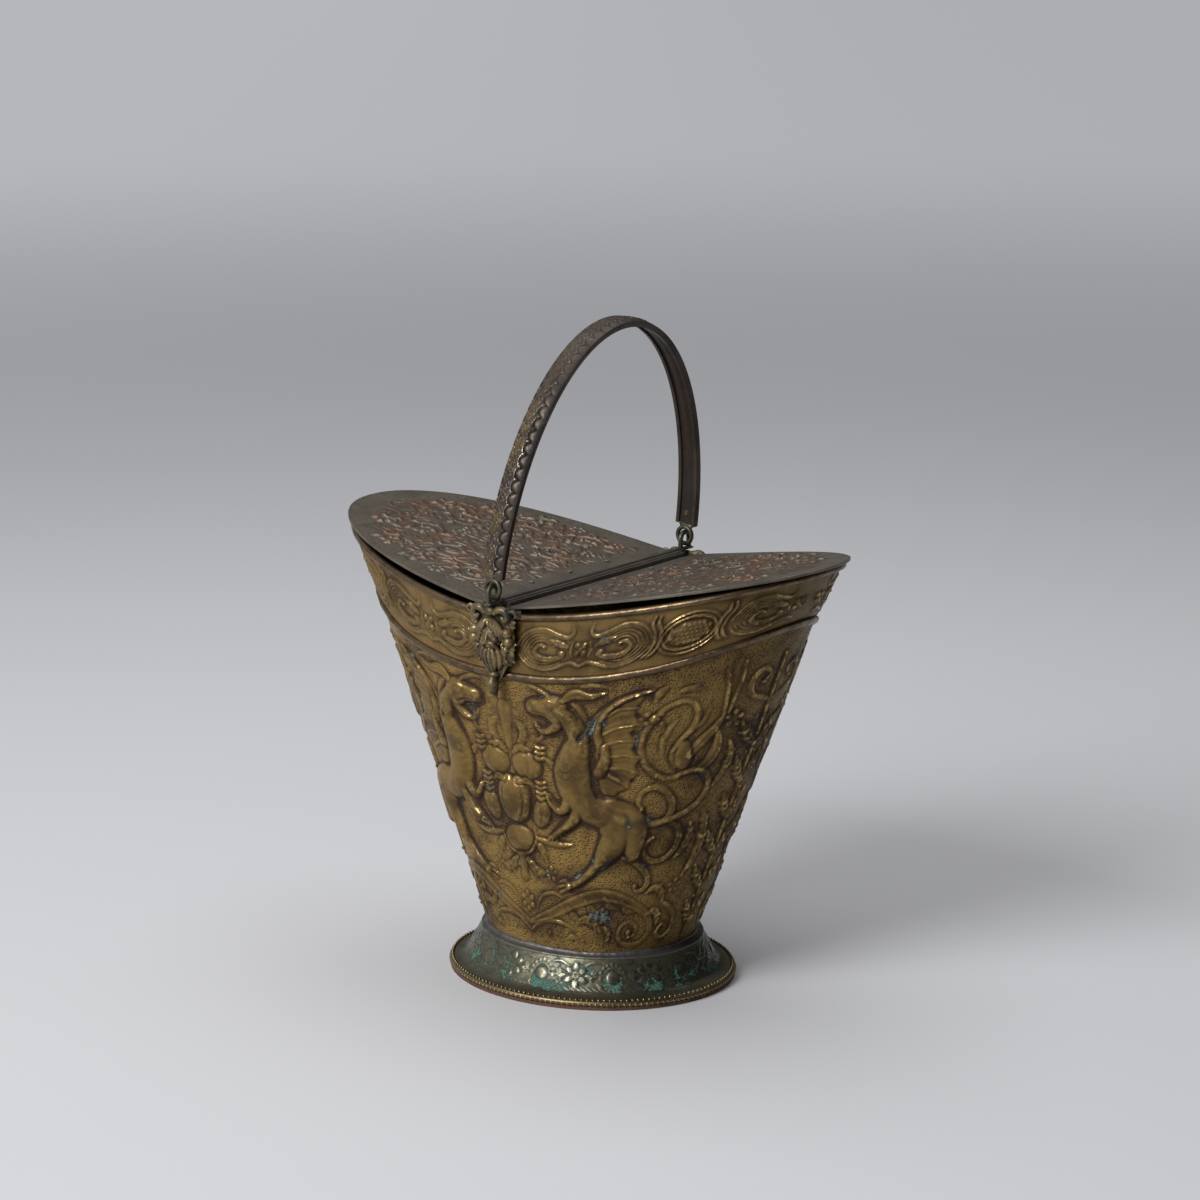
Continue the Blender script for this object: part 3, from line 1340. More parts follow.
@dataclass
class BeadRow:
    """A row of small cast beads round an oval, set out with Geometry Nodes."""

    name: str
    half: Pair
    height: float
    count: int
    radii: Triple
    shift: float
    # The smallest and largest bead, as shares of the plain size.
    least: float = 0.93
    most: float = 1.05

    def _inputs(self) -> dict[str, tuple[str, object]]:
        """Lists the kind and value of each of the layout's inputs."""
        return {
            "Beads": ("Int", self.count),
            "Half Length": ("Float", self.half[0] * MM),
            "Half Width": ("Float", self.half[1] * MM),
            "Height": ("Float", self.height * MM),
            "Turn": ("Float", self.shift * 2 * math.pi / self.count),
            "Bead Size": ("Vector", (self.radii[2], self.radii[1], self.radii[0])),
            "Seed": ("Int", 4),
        }

    def _tree(self, finish: Metal) -> tuple[bpy.types.NodeTree, dict[str, str]]:
        """Builds the node tree.

        Args:
            finish: The beads' metal.

        Returns:
            The tree and the identifiers of its inputs by name.
        """
        tree = bpy.data.node_groups.new(self.name + "_layout", "GeometryNodeTree")
        known = {}
        for key, (kind, _) in self._inputs().items():
            socket = tree.interface.new_socket(key, in_out="INPUT", socket_type=f"NodeSocket{kind}")
            known[key] = socket.identifier
        tree.interface.new_socket("Geometry", in_out="OUTPUT", socket_type="NodeSocketGeometry")
        book = Book(tree)
        given = book.add("NodeGroupInput").outputs
        circle = book.add("GeometryNodeCurvePrimitiveCircle", {"Resolution": 256, "Radius": 1.0})
        size = book.add("ShaderNodeCombineXYZ", {0: given["Half Length"], 1: given["Half Width"], 2: 1.0})
        lift = book.add("ShaderNodeCombineXYZ", {0: 0.0, 1: 0.0, 2: given["Height"]})
        turn = book.add("ShaderNodeCombineXYZ", {0: 0.0, 1: 0.0, 2: given["Turn"]})
        turned = book.add("GeometryNodeTransform", {0: circle.outputs[0], "Rotation": turn.outputs[0]})
        moved = {0: turned.outputs[0], "Translation": lift.outputs[0], "Scale": size.outputs[0]}
        oval = book.add("GeometryNodeTransform", moved)
        asked = {"Curve": oval.outputs[0], "Count": given["Beads"]}
        points = book.add("GeometryNodeCurveToPoints", asked, mode="COUNT")
        bead = book.add("GeometryNodeMeshUVSphere", {"Segments": 8, "Rings": 6, "Radius": MM})
        limits = {"Min": (self.least,) * 3, "Max": (self.most,) * 3, "Seed": given["Seed"]}
        spread = book.add("FunctionNodeRandomValue", limits, data_type="FLOAT_VECTOR")
        sizes = {0: given["Bead Size"], 1: spread.outputs[0]}
        scale = book.add("ShaderNodeVectorMath", sizes, operation="MULTIPLY")
        setting = {"Points": points.outputs["Points"], "Instance": bead.outputs[0]}
        setting |= {"Rotation": points.outputs["Rotation"], "Scale": scale.outputs[0]}
        placed = book.add("GeometryNodeInstanceOnPoints", setting)
        solid = book.add("GeometryNodeRealizeInstances", {0: placed.outputs[0]})
        smooth = book.add("GeometryNodeSetShadeSmooth", {0: solid.outputs[0]})
        dress = {"Geometry": smooth.outputs[0], "Material": finish.material()}
        dressed = book.add("GeometryNodeSetMaterial", dress)
        book.add("NodeGroupOutput", {0: dressed.outputs[0]})
        return tree, known

    def build(self, finish: Metal) -> bpy.types.Object:
        """Lays out the beads and returns them as one plain mesh."""
        tree, known = self._tree(finish)
        holder = bpy.data.objects.new(self.name + "_holder", bpy.data.meshes.new(self.name + "_holder"))
        bpy.context.scene.collection.objects.link(holder)
        layout = holder.modifiers.new("layout", "NODES")
        layout.node_group = tree
        for key, (_, value) in self._inputs().items():
            layout[known[key]] = value
        holder.update_tag()
        ready = holder.evaluated_get(bpy.context.evaluated_depsgraph_get())
        mesh = bpy.data.meshes.new_from_object(ready)
        holder.modifiers.clear()
        bpy.data.objects.remove(holder)
        made = bpy.data.objects.new(self.name, mesh)
        bpy.context.scene.collection.objects.link(made)
        return made


def dress_node(node: str, finish: Metal) -> None:
    """Gives a carried-over CAD node its metal."""
    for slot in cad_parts[node].material_slots:
        slot.material = finish.material()


# ---- Body ----------------------------------------------------------------------


@dataclass
class Sheets:
    """Two embossed sheets, front and back, that meet at the tips of the oval.

    The body and the band each add their relief, the spacing round them and the levels up them.
    """

    part: ClassVar[str]
    finish: ClassVar[Metal]
    steps_along: int
    steps_up: int
    # The inner face's grid is coarser by ratio, and inner_share of the forms' height shows inside.
    ratio: int = 3
    inner_share: float = 0.75
    wall: float = 1.0
    dents: float = 0.0
    dent_size: float = 70.0

    def build(self) -> None:
        """Builds and dresses both sheets."""
        t, along = self.spacing()
        pattern = self.relief(along[-1])
        angles = np.concatenate([-math.pi - t[::-1][:-1], t])
        spots = np.concatenate([along[::-1][:-1], along])
        share = np.linspace(0, 1, self.steps_up + 1)[:, None]
        for turn, side in ((0, "front"), (math.pi, "back")):
            z, up, held = self.levels(angles + turn, share)
            spot = np.broadcast_to(spots, z.shape)
            angle = np.broadcast_to(angles + turn, z.shape)
            height = pattern.read(pattern.height, spot, up) * held
            dents = noise_bumps(FORM.wall(angle, z, 0).reshape(-1, 3), self.dent_size, 3).reshape(z.shape)
            dents = self.dents * dents * held
            outer = Skin(FORM.wall(angle, z, height + dents), pattern.masks_at(spot, up))
            pick = (slice(None, None, self.ratio),) * 2
            out = self.inner_share * height[pick] + dents[pick] - self.wall
            inner = Skin(FORM.wall(angle[pick], z[pick], out))
            shape = Shape(f"{self.part}_{side}_embossed")
            join_sheet(shape, outer, inner, self.ratio)
            take_place(shape.build(), Body.BUCKET, (f"{self.part}_{side}",), self.finish)


@dataclass
class BodySheets(Sheets):
    """The two embossed sheets of the tapering body."""

    part: ClassVar[str] = "body_sheet"
    finish: ClassVar[Metal] = BODY_BRASS
    steps_along: int = 360
    steps_up: int = 246
    dents: float = 0.25
    pattern_height: float = 170.0
    # Where corrosion gathers: points of a line | how far it reaches to both sides.
    STAINS: ClassVar[str] = """
        94,191 93,200 94,209 98,219 | 1.8; 104,183 112,179 121,178 126,181 | 1.4;
        72,231 66,222 63,212 59,206 | .7; 80,106 86,112 | 2.2; 92,150 96,140 | 1.8;
        150,225 154,221 | 2.6; 150,172 151,163 | 1.6; 54,94 61,101 | 3.4;
        27,94 34,97 | 2.4; 76,65 84,66 93,62 | 7; 40,72 44,66 | 2.6; 3,103 6,98 | 1.8
    """

    def relief(self, length: float) -> Relief:
        """Chases a quarter of the body, from the front's middle to the tip.

        Args:
            length: Length of the quarter at the pattern's height.

        Returns:
            The field, with height measured up the body.
        """
        f = Relief(0, length, 28, 292)
        self._urn(f)
        self._bottom_scrolls(f)
        self._tail(f)
        self._dragon(f)
        self._tip(f, length)
        for points, (width,) in read_forms(self.STAINS):
            f.stain(points, width)
        f.finish()
        return f

    def _urn(self, f: Relief) -> None:
        """Chases half of the urn of fruit in the middle."""
        f.draw("""
            stroke 0,222 0,208 0,192 | 5.5 4 2.2 | .8 FLAT;
            leaf 9,196 13,201 12,209 7,213 | 1.5 3.2 2.6 .6 | 1.2 2;
            dome 14,179 | 13 11.5 | 3.8 -14; stroke 14,189 17,180 15,170 | .5 .8 .5 | -.6 sink=0;
            leaf 3,187 9,192 18,191 | 1.2 2.8 .8 | 1.4 2;
            stroke 22,195.5 25,193.6 29,194.6 | 1 1.9 1.5 | 2 +0,0 +0,-4 +0,-8;
            leaf 31,186 36,181.5 38,176 | 1.5 2.6 .8 | 1.2 1;
            dome 24.5,143 | 8.5 12.5 | 3.6 -20; stroke 22,153 25.5,143 23,133 | .6 .9 .6 | -.6 sink=0;
            mass 0,168 8,168.5 14.5,160 15.5,149 11,137 0,131.5 -9,140 -9,160 | 4.6 9;
            stroke 4.5,167 9.5,155 8,143 3,134 | .8 1 .6 | -.8 sink=0;
            stroke 0,169 1,158 | .8 .5 | -.6 sink=0;
            leaf 6,165 13,166.5 19,163 | 1.5 2.8 .7 | 1.5 1;
            stroke 20.5,168 24,166 28.5,167.5 | 1 1.9 1.5 | 1.9 +0,0 +0,-4 +0,-8 +0,-12;
            dome 0,118 | 16.5 13 | 3.8; stroke -6,112 0,109.5 6,112 | .7 .9 .7 | -.6 sink=0;
            stroke 0,107.5 8,109 14,114 17,122 15.5,129 | 1.3 1.6 1.5 1.2 .6 | 1.8;
            stroke 0,103 0,96 0,90 | 7 3.6 4.6 | 1.6; leaf 6,104 12,98 18,94 25,95.5 | 2 4 3 .8 | 1.5 3;
            leaf 17,119 23,112.5 26,104 | 2 3.4 .8 | 1.4 2;
            stroke 18,122 28,120.5 40,119.5 52,121.5 | 1.6 2.4 2.3 1.2 | 1.6;
            stroke 24,122.5 25.2,118 | .6 .6 | .5 sink=0 +0,0 +5.2,0 +10.4,0 +15.6,0 +20.8,0;
            leaf 33,124 38,128.5 46,129 | 1.4 3.4 .8 | 1.3 2;
            flower 30.5,95.5 | 6.5 5 1.4; flower 0,70 | 9. 6 1.7
        """)

    def _bottom_scrolls(self, f: Relief) -> None:
        """Chases the scrollwork round the body's lower end."""
        f.draw("""
            stroke 10,63 14,71.5 22,78 33,80 42,77.5 | .8 1.4 1.6 1.4 .8 | 1.2;
            stroke 0,46.5 10,53 25,57.5 42,56.5 57,51.5 | 1.5 1.9 2 1.7 .8 | 1.4;
            dome 25,47 | 2.4 2.4 | 1.3; dome 11,43.5 | 1.8 1.8 | 1.3; dome 39,46 | 2 2 | 1.3;
            dome 66,44 | 1.8 1.8 | 1.3; dome 92,45 | 2 2 | 1.3;
            leaf 47,44 53,46 60,44.5 | 1.2 2.6 .7 | 1.2 1;
            leaf 58,58 68,61.5 78,58 85,51 | 1.5 4 3.4 .8 | 1.5 3;
            leaf 88,56 93,51 94,44 | 1.2 2.8 .8 | 1.2 2;
            leaf 128,66 135,68 140,63 141,56 | 1.5 3.4 2.8 .8 | 1.4 2;
            leaf 0,-2 7,-9 15,-11 | 1.8 3 .6 | 1.1 1 +48,71.5 +66,78.5 +84,82 +101,79;
            scroll 0,53 15,58.5 31,64 48,71.5 66,78.5 84,82 101,79 115,73.5 126.5,67 133.5,59 134.5,50
                129.5,43 120,40.5 109.5,42.2 103.2,48.5 104.3,56 110.5,60 117.6,58.6 121,53.2
                118.8,48.2 114.2,47.6
                | 1.8 3.2 4.4 5.2 5.6 5.2 4.4 3.6 3 2.6 2.4 2.2 2.1 2 1.9 1.7 1.5 1.4 1.3 1.2 1.1 | 2;
            flower 84,65 | 7.5 6 1.6; dome 113.6,51.4 | 2.6 2.6 | 2;
            scroll 139,76 150,70 158,61 159,50 151,44 143.5,48.5 146,55.5 151.5,54
                | 1 2.2 2.3 2.1 1.8 1.5 1.3 1 | 1.6;
            leaf 122,84 130,88 137,84 141,76 | 1.2 3.2 2.8 .8 | 1.4 3
        """)

    def _tail(self, f: Relief) -> None:
        """Chases the beast's looping tail, its tendrils and its flowers."""
        f.draw("""
            scroll 127,143 136,137 139,127 136,117 128,110.8 119,111 112.6,117 112.5,125 117.5,130
                | 1.6 2.2 2.3 2.2 2 1.9 1.7 1.4 1.1 | 1.7;
            scroll 96,113.5 107,109.5 116,103 121,95.5 119.5,88 113.5,85.8 110.5,90
                | 1.2 2 2.4 2.2 1.9 1.6 1.3 | 1.7;
            scroll 123,143.5 127,152 124,162 117,169 109,170.5 102.6,166 101,158.5 104.5,153
                | 1.8 2.2 2.3 2.2 2 1.8 1.5 1.2 | 1.7;
            leaf 139,111 145,120 148,131 145,141 | 1.2 3.2 2.6 .7 | 1.4 4;
            leaf 134,184 142.5,187 147.5,197 147,208 143,217 | 1.4 3.6 4.4 3 .8 | 1.5;
            stroke 137,189 140,199 140,210 | .5 .7 .4 | -.5 sink=0;
            stroke 140,190.5 142.4,199 141.6,210 | .5 .7 .4 | -.5 sink=0;
            stroke 143,192 144.8,199 143.2,210 | .5 .7 .4 | -.5 sink=0;
            leaf 129,196 135.5,206 142,216 147,227 | 3.4 4.2 3 1 | 1.7;
            stroke 146,226 145,239 143.5,251 140.5,262 | 1.3 1.3 1.2 .8 | 1.4;
            stroke 149,227 150.5,240 152,254 151,268 | 1.3 1.3 1.2 .8 | 1.4;
            flower 155,222 | 8. 5 1.7;
            stroke 88,147 98,143 110,140.8 124,143.4 138,149.5 147.3,158.5 150.3,168.5 147,178 139,183.5
                129.5,182 120,177.6 109,181 101,189 97,199 97,210 99.6,219 103.5,227 109.5,234 117.5,238.8
                124.5,237 128.3,230 128.3,221 124.3,212 120,203 119,194 122,187
                | 5.2 4.4 3.4 2.9 2.7 2.5 2.5 2.4 2.3 2.2 2.3 2.4 2.4 2.3 2.2 2.1 2.1 2.1 2.1 2.1 2.1 2.2 2.4
                2.8 2.8 2 | 2.4;
            mass 121,206 119.5,196 122,187 128,184.5 131.5,190 130.5,199 127,207 | 2.2 4;
            leaf 117,198 124,212 133,222 136,236 | 1 1.8 1.6 .6 | 1;
            dome 102.5,224.5 | 3.8 3.8 | 1.8; dome 97.5,228 | 2.1 2.1 | 1.8; dome 107.5,221 | 2.2 2.2 | 1.8;
            dome 106,228.5 | 1.8 1.8 | 1.8; dome 98,221 | 1.8 1.8 | 1.8;
            leaf 101,238 103,245 108,251 | 1.2 2.6 .7 | 1.3 1;
            leaf 113,245 121,249 130,247 | 1 2.4 .7 | 1.2 2;
            leaf 112,193 110,205 113,217 118,226 | .8 2 1.8 .5 | .9 3
        """)

    def _dragon(self, f: Relief) -> None:
        """Chases the winged beast that faces the urn."""
        f.draw("""
            mass 66,198 65,212 69.5,227 79,240 95,246.5 93,238.5 89.5,231 92.5,220.5 89,213 92.5,206.5
                91.5,199.5 97.5,194 95,187 97.5,181 93,175.5 92,169.5 85.5,166 82,162 74,164 70,176 | 1 2.5
        """)
        ribs = [points for (points,) in read_forms("""
            71,224 80,231 91,233; 71,211 80,216.5 93,220; 73,203 83,206.3 92.5,206.5;
            76,193.5 87,195.3 97.5,194; 76,184.5 88,184.6 97.5,181; 77,179 86,174.5 92,169.5
        """)]
        for rib in ribs:
            f.stroke(rib, (1.5, 1.1, 0.8), 1.1, sink=0.3)
        for low, high in zip(ribs[1:], ribs[:-1]):
            middle = [((a[0] + b[0]) / 2, (a[1] + b[1]) / 2) for a, b in zip(low, high)]
            f.stroke(middle, (1.6, 2.6, 2.2), -0.4, sink=0)
        f.draw("""
            stroke 41,226 50,217 54.5,205 52,192 50.5,178 54,163 64,152 77,148 90,144
                | 6 7.5 7.8 11 14 13.5 12 12.5 9 | 5.6;
            stroke 80,150 95,140 101,128 104,115 | 12 15 11 5 | 5 sink=MERGED;
            stroke 84,146 89,132 82,118 75,107 | 14 14 9.5 4.6 | 5.6 sink=MERGED;
            stroke 75,107 67,98.5 58,91.5 49,87 | 4.6 3.8 3.4 3 | 3 sink=MERGED;
            stroke 52,170 47,153 41,147 35,151 31,157 | 8 5.4 3.8 3 2.4 | 4 sink=MERGED;
            stroke 58,160 54,144 46,135 37,128 | 8 5.6 3.8 2.6 | 4.2 sink=MERGED
        """)
        for dz, reach in ((4.5, 38), (0.5, 35.5), (-3.5, 38.5)):
            f.stroke([(50, 87 + dz * 0.3), (44, 87 + dz), (reach, 84.5 + dz)], (2.2, 1.9, 0.7), 1.5, sink=0.3)
        for dx in (-3.5, 0, 3.5):
            f.stroke([(37, 128), (34 + dx, 124), (33 + dx, 120.5)], (1.7, 1.5, 0.6), 1.2, sink=0.2)
        f.draw("""
            stroke 56,206 60.5,213 66,224 72,233 | 1.2 1.3 1.2 .6 | 1.4;
            stroke 71,198 67.3,208 67.5,218 71.5,228 80,237 89,242.5 99,247 | 3.4 3 2.4 2 1.6 1.2 .7 | 2.2;
            stroke 73,201 73.5,190 70.5,181 | 2.6 4.2 5.2 | 2.2; dome 70.5,180.5 | 3 3 | .8 sink=0
        """)
        for k in range(4):
            mane = [(44 + 3 * k, 236 - k), (52 + 2.2 * k, 229 - 2 * k)]
            mane += [(56 + 1.6 * k, 217 - 3 * k), (53 + 2 * k, 206 - 2 * k)]
            f.stroke(mane, (0.8, 1.6, 1.4, 0.6), 0.9, sink=0.15)
        f.draw("""
            mass 48,230 42,236 34,236.5 27,233.5 21,232 17.5,227.5 18.5,221.5 24,219.5 31,219 38,213.5 46,216
                | 4.6 8 sink=MERGED;
            stroke 42,217 35,209.5 28,208 24,212 | 5 3.4 2 .8 | 3.4 sink=MERGED;
            stroke 22,216 25.5,211 28.5,205 25,200.5 21,203 | .7 1.1 1.2 1.1 .8 | 1.1;
            dome 34.5,228.5 | 2.4 1.9 | .9 10 sink=0; dome 34.5,228.5 | .9 .9 | -.9 sink=0;
            stroke 29,231 35,233 41,230.5 | .8 1.2 .6 | .9 sink=0; dome 21,228 | 1.3 .9 | -.8 sink=0;
            stroke 24,222.5 31,222.5 38,219 | .6 .8 .5 | -.8 sink=0;
            stroke 37,233 29,238.5 22,241.5 15,241 | 2.4 1.8 1.1 .5 | 1.6 sink=MERGED;
            leaf 44,234 52,239.5 61,239 71,243 | 2 4.4 2.8 .6 | 2.2;
            leaf 55,246 62,248.5 74,247 | .8 1.8 .6 | 1.2
        """)
        for k in range(6):
            fold = [(40.5 + 0.2 * k, 188 - 6 * k), (45.5, 185 - 6 * k), (50, 187 - 6 * k)]
            f.stroke(fold, (0.5, 0.7, 0.4), -0.45, sink=0)

    def _tip(self, f: Relief, length: float) -> None:
        """Chases half of the upright plume under the tip."""
        f.draw("stroke 0,40 0,120 0,205 0,268 | 3 2.6 2.2 1.4 | 1.8", length)
        for k in range(6):
            z = 52 + 29 * k
            out = 13 + 4.2 * math.sin(k * 1.3) + 1.2 * k
            rib = [(length - 1, z), (length - out * 0.55, z + 9), (length - out, z + 21)]
            f.leaf(rib, (2.2, 4.2, 1.0), 1.7, 3)
            f.dome((length - out * 0.35, z + 22), (1.8, 1.8), 1.3)
        f.scroll(
            [(length - 2, 232), (163, 240), (160.5, 252), (167, 259), (173.5, 254), (170, 248)],
            (1.2, 2.0, 2.2, 1.9, 1.5, 1.2), 1.6,
        )
        f.draw("""
            leaf 152,95 158.5,108 161,124 158,140 152.5,151 | 1 3.6 4.2 3.2 .8 | 1.5 4;
            leaf 154,168 160,180 161.5,193 157,205 | 1 3.2 3.4 .8 | 1.4 3; flower 148,88 | 6.5 5 1.4
        """)

    def spacing(self) -> tuple[np.ndarray, np.ndarray]:
        """Spaces a quarter's angles at the pattern's height."""
        return FORM.even_angles(self.pattern_height, 0, self.steps_along // 2)

    def levels(self, angle: np.ndarray, share: np.ndarray) -> tuple[np.ndarray, np.ndarray, np.ndarray]:
        """Gives the sheet's levels.

        Args:
            angle: Angles round the body.
            share: Shares of the way up the sheet.

        Returns:
            Heights, places up the pattern, and how much of its forms is kept there.
        """
        bead = FORM.bead_height(angle)
        z = FORM.bottom + share * (bead - 0.05 - FORM.bottom)
        return z, z, np.clip((z - FORM.bottom - 2) / 6, 0, 1) * np.clip((bead - 3.5 - z) / 4, 0, 1)


@dataclass
class UpperBand(Sheets):
    """The two embossed sheets of the band under the rim."""

    part: ClassVar[str] = "upper_band"
    finish: ClassVar[Metal] = BAND_BRASS
    steps_along: int = 540
    steps_up: int = 54
    middle_share: float = 0.5
    full: float = 46.4
    gap: float = 0.1
    # The cartouche's upper and lower frame, from the rosette's middle, and the doubled strap that links two.
    FRAMES: ClassVar[str] = """
        stroke 8,38 6.5,33 11,29.5 19,31.5 30,35.5 41,34.5 49,29.5 53.5,23
            | .8 1.3 1.5 1.4 1.4 1.3 1.1 .8 | 1.1;
        stroke 0,9.5 7,11.8 14,10.5 26,7.6 38,8.6 47,12 53,18 | 1 1.4 1.4 1.3 1.3 1.1 .7 | 1.1
    """
    LINK: ClassVar[str] = """
        stroke -2.5,38 -3.5,33 0,27 1.2,20 -1.5,13.5 -6,10 | .8 1.5 1.8 1.7 1.5 .8 | 1.5 +0,0 +3.9,0
    """

    def relief(self, length: float) -> Relief:
        """Chases a quarter of the band: scroll cartouches, rosettes and berry ovals.

        Args:
            length: Length of the quarter at the band's middle.

        Returns:
            The field, with its height measured from the bead.
        """
        f = Relief(0, length, 0, 48, step=0.4, moat=1.2)
        for middle, way in ((70, -1), (70, 1), (232, -1)):
            self._cartouche(f, middle, way)
        for middle in (70, 232):
            self._rosette(f, middle)
        self._berry_oval(f, 149.5)
        f.draw(self.LINK, 124.5)
        f.draw(self.LINK, 174.5, -1)
        f.finish(0.35)
        return f

    def _cartouche(self, f: Relief, middle: float, way: int) -> None:
        """Chases one acanthus scroll between a rosette and a link.

        Args:
            f: The field.
            middle: Where the rosette stands.
            way: 1 to the right of it, -1 to the left.
        """
        f.draw(self.FRAMES, middle, way)
        heart = np.array([31.0, 21.5])
        for k in range(1, 5):
            drawn = 1 - 0.14 * k
            for (_, *line), *_ in read_forms(self.FRAMES):
                inner = [heart + (np.array(point) - heart) * drawn for point in line[2:]]
                f.stroke([(middle + way * x, y) for x, y in inner], (0.5, 1.0, 0.5), 1.0, sink=0.3)
        f.draw("""
            scroll 13,17 20,15 29,14.5 36,17 38,21 34,24.4 29.5,23 | 1 1.6 1.9 1.7 1.4 1.2 1 | 1.4;
            leaf 11,23 18,25.5 26,28 | 1 2.4 .6 | 1.2 2
        """, middle, way)
        f.dome((middle + way * 15.5, 18.5), (3.2, 2.0), 1.2, way * 12)

    def _rosette(self, f: Relief, middle: float) -> None:
        """Chases a small four-petal rosette between two short stems."""
        for turn in (45, 135, 225, 315):
            angle = math.radians(turn)
            f.dome((middle + 3.4 * math.cos(angle), 21 + 3.4 * math.sin(angle)), (2.9, 2.3), 1.6, turn)
        f.dome((middle, 21), (1.7, 1.7), 1.8)
        for side in (-1, 1):
            f.draw("stroke 6.5,26 8.2,21 6.5,16 | .6 1 .6 | 1.", middle, side)

    def _berry_oval(self, f: Relief, middle: float) -> None:
        """Chases an oval of berries in a double frame."""
        for grow, width in ((0.0, 1.3), (3.2, 1.0)):
            a, b = 18.5 + grow, 11.2 + grow
            ring = [(middle + a * math.cos(k), 22 + b * math.sin(k)) for k in np.linspace(0, 2 * math.pi, 21)]
            f.stroke(ring, (width, width), 1.4)
        f.dome((middle, 22), (16.6, 9.6), 0.9, edge=Edge.FLAT)
        f.berries((middle + 1.5, 22), (14.0, 8.8), 3.4, 1.0)
        f.leaf([(middle - 16, 18), (middle - 12.5, 22), (middle - 14, 28)], (1.0, 2.6, 0.8), 1.0, 1)


    def spacing(self) -> tuple[np.ndarray, np.ndarray]:
        """Spaces a quarter's angles at the band's middle."""
        return FORM.even_angles(-1, self.middle_share, self.steps_along // 2)

    def levels(self, angle: np.ndarray, share: np.ndarray) -> tuple[np.ndarray, np.ndarray, np.ndarray]:
        """Gives the band's levels.

        Args:
            angle: Angles round the body.
            share: Shares of the way up the band.

        Returns:
            Heights, places up the pattern, and how much of its forms is kept there.
        """
        bead, rim = FORM.bead_height(angle), FORM.rim_height(angle)
        low = bead + self.gap
        z = low + share * (rim - 2 * FORM.rim_wire - self.gap - low)
        up = (z - bead) / (rim - bead) * self.full
        return z, up, np.clip((41.5 - up) / 3, 0, 1) * np.clip((up - 2.5) / 3, 0, 1)


@dataclass
class Trim:
    """The half-round bead over the joint and the rolled rim."""

    steps: int = 900
    bead_half_height: float = 3.2
    bead_proud: float = 2.5
    sides: int = 14

    def build(self) -> None:
        """Builds and dresses the bead and the rim."""
        t = np.linspace(0, 2 * math.pi, self.steps, endpoint=False)
        spots = FORM.wall(t, FORM.bead_height(t), 0)
        waves = noise_bumps(spots, 22, 11) + 1.2 * noise_bumps(spots, 6, 13)
        bead = FORM.bead_height(t)
        rings = [FORM.wall(t, bead, 0.1)]
        for phi in np.linspace(QUARTER_TURN, -QUARTER_TURN, 9):
            up = bead + self.bead_half_height * math.sin(phi)
            out = 0.1 + (self.bead_proud + 0.12 * waves) * math.cos(phi)
            rings.append(FORM.wall(t, up, out))
        moulding = close_rings("mid_bead_moulding", rings)
        take_place(moulding, Body.BUCKET, ("mid_bead",), TRIM_COPPER)
        top = FORM.rim_height(t)
        lumps = noise_bumps(FORM.wall(t, top, 0), 15, 12)
        rings = []
        for phi in np.linspace(0, -2 * math.pi, self.sides, endpoint=False):
            radius = FORM.rim_wire * (0.975 + 0.025 * lumps)
            centre = top - FORM.rim_wire
            point = FORM.wall(t, centre, radius * math.cos(phi))
            point[:, 2] = centre + radius * math.sin(phi)
            rings.append(point)
        take_place(close_rings("rolled_rim", rings), Body.BUCKET, ("rim_wire",), TRIM_COPPER)


# ---- Cross bar and lids ---------------------------------------------------------


@dataclass
class CrossBar:
    """The reeded moulding across the mouth, on its rail."""

    half_length: float = 104.7
    low: float = 295.4
    width: float = 13.2
    ribs: tuple[Triple, ...] = ((0.0, 2.3, 7.0), (3.55, 1.2, 5.2), (5.6, 1.0, 4.1))

    def _section(self) -> np.ndarray:
        """Gives the section of five ribs, from the left side over the crown to the right side."""
        x = np.linspace(0, self.width / 2, 49)
        z = np.interp(x, (0, 2.3, 4.7, self.width / 2), (6.0, 4.6, 3.5, 3.0))
        for middle, radius, top in self.ribs:
            share = np.clip(1 - ((x - middle) / radius) ** 2, 0, 1)
            z = np.maximum(z, np.where(share > 0, top - radius + radius * np.sqrt(share), 0))
        right = np.column_stack([x, z])
        left = right[:0:-1] * (-1, 1)
        return np.vstack([(-self.width / 2, 0), left, right, (self.width / 2, 0)])

    def build(self) -> None:
        """Builds the moulding and dresses the rail, pins and floor."""
        section = self._section()
        y = np.linspace(-self.half_length, self.half_length, 260)
        wobble = noise_bumps(np.column_stack([0 * y, y, 0 * y]), 30, 21)
        grid = np.zeros((len(y), len(section), 3))
        grid[..., 0] = section[None, :, 0] * (1 - 0.006 * np.abs(wobble[:, None]))
        grid[..., 1] = y[:, None]
        grid[..., 2] = self.low + section[None, :, 1] * (1 - 0.012 * np.abs(wobble[:, None]))
        x = np.abs(section[:, 0])
        tops = [np.exp(-(((x - middle) / (0.6 * radius)) ** 2)) for middle, radius, _ in self.ribs]
        crown = np.max(tops, axis=0)
        skin = Skin(grid, {"hollow": 0.5 * np.clip(0.5 - crown, 0, 1), "crest": crown})
        shape = Shape("cross_bar_reeding")
        start = shape.add_grid(skin, wrap_cols=True)
        shape.cap(start, len(section), turned=True)
        shape.cap(start + (len(y) - 1) * len(section), len(section))
        take_place(shape.build(35), Body.BUCKET, ("cross_bar_cap",), BAR_BRONZE)
        dress_node("hinge_rail", BAR_BRONZE)
        dress_node("bottom_plate", FOOT_BRASS)
        for side in ("left", "right"):
            dress_node(f"hinge_pin_{side}", IRON)
            dress_node(f"lid_hinge_leaf_{side}", BAR_BRONZE)
            dress_node(f"lid_rivets_{side}", BAR_BRONZE)


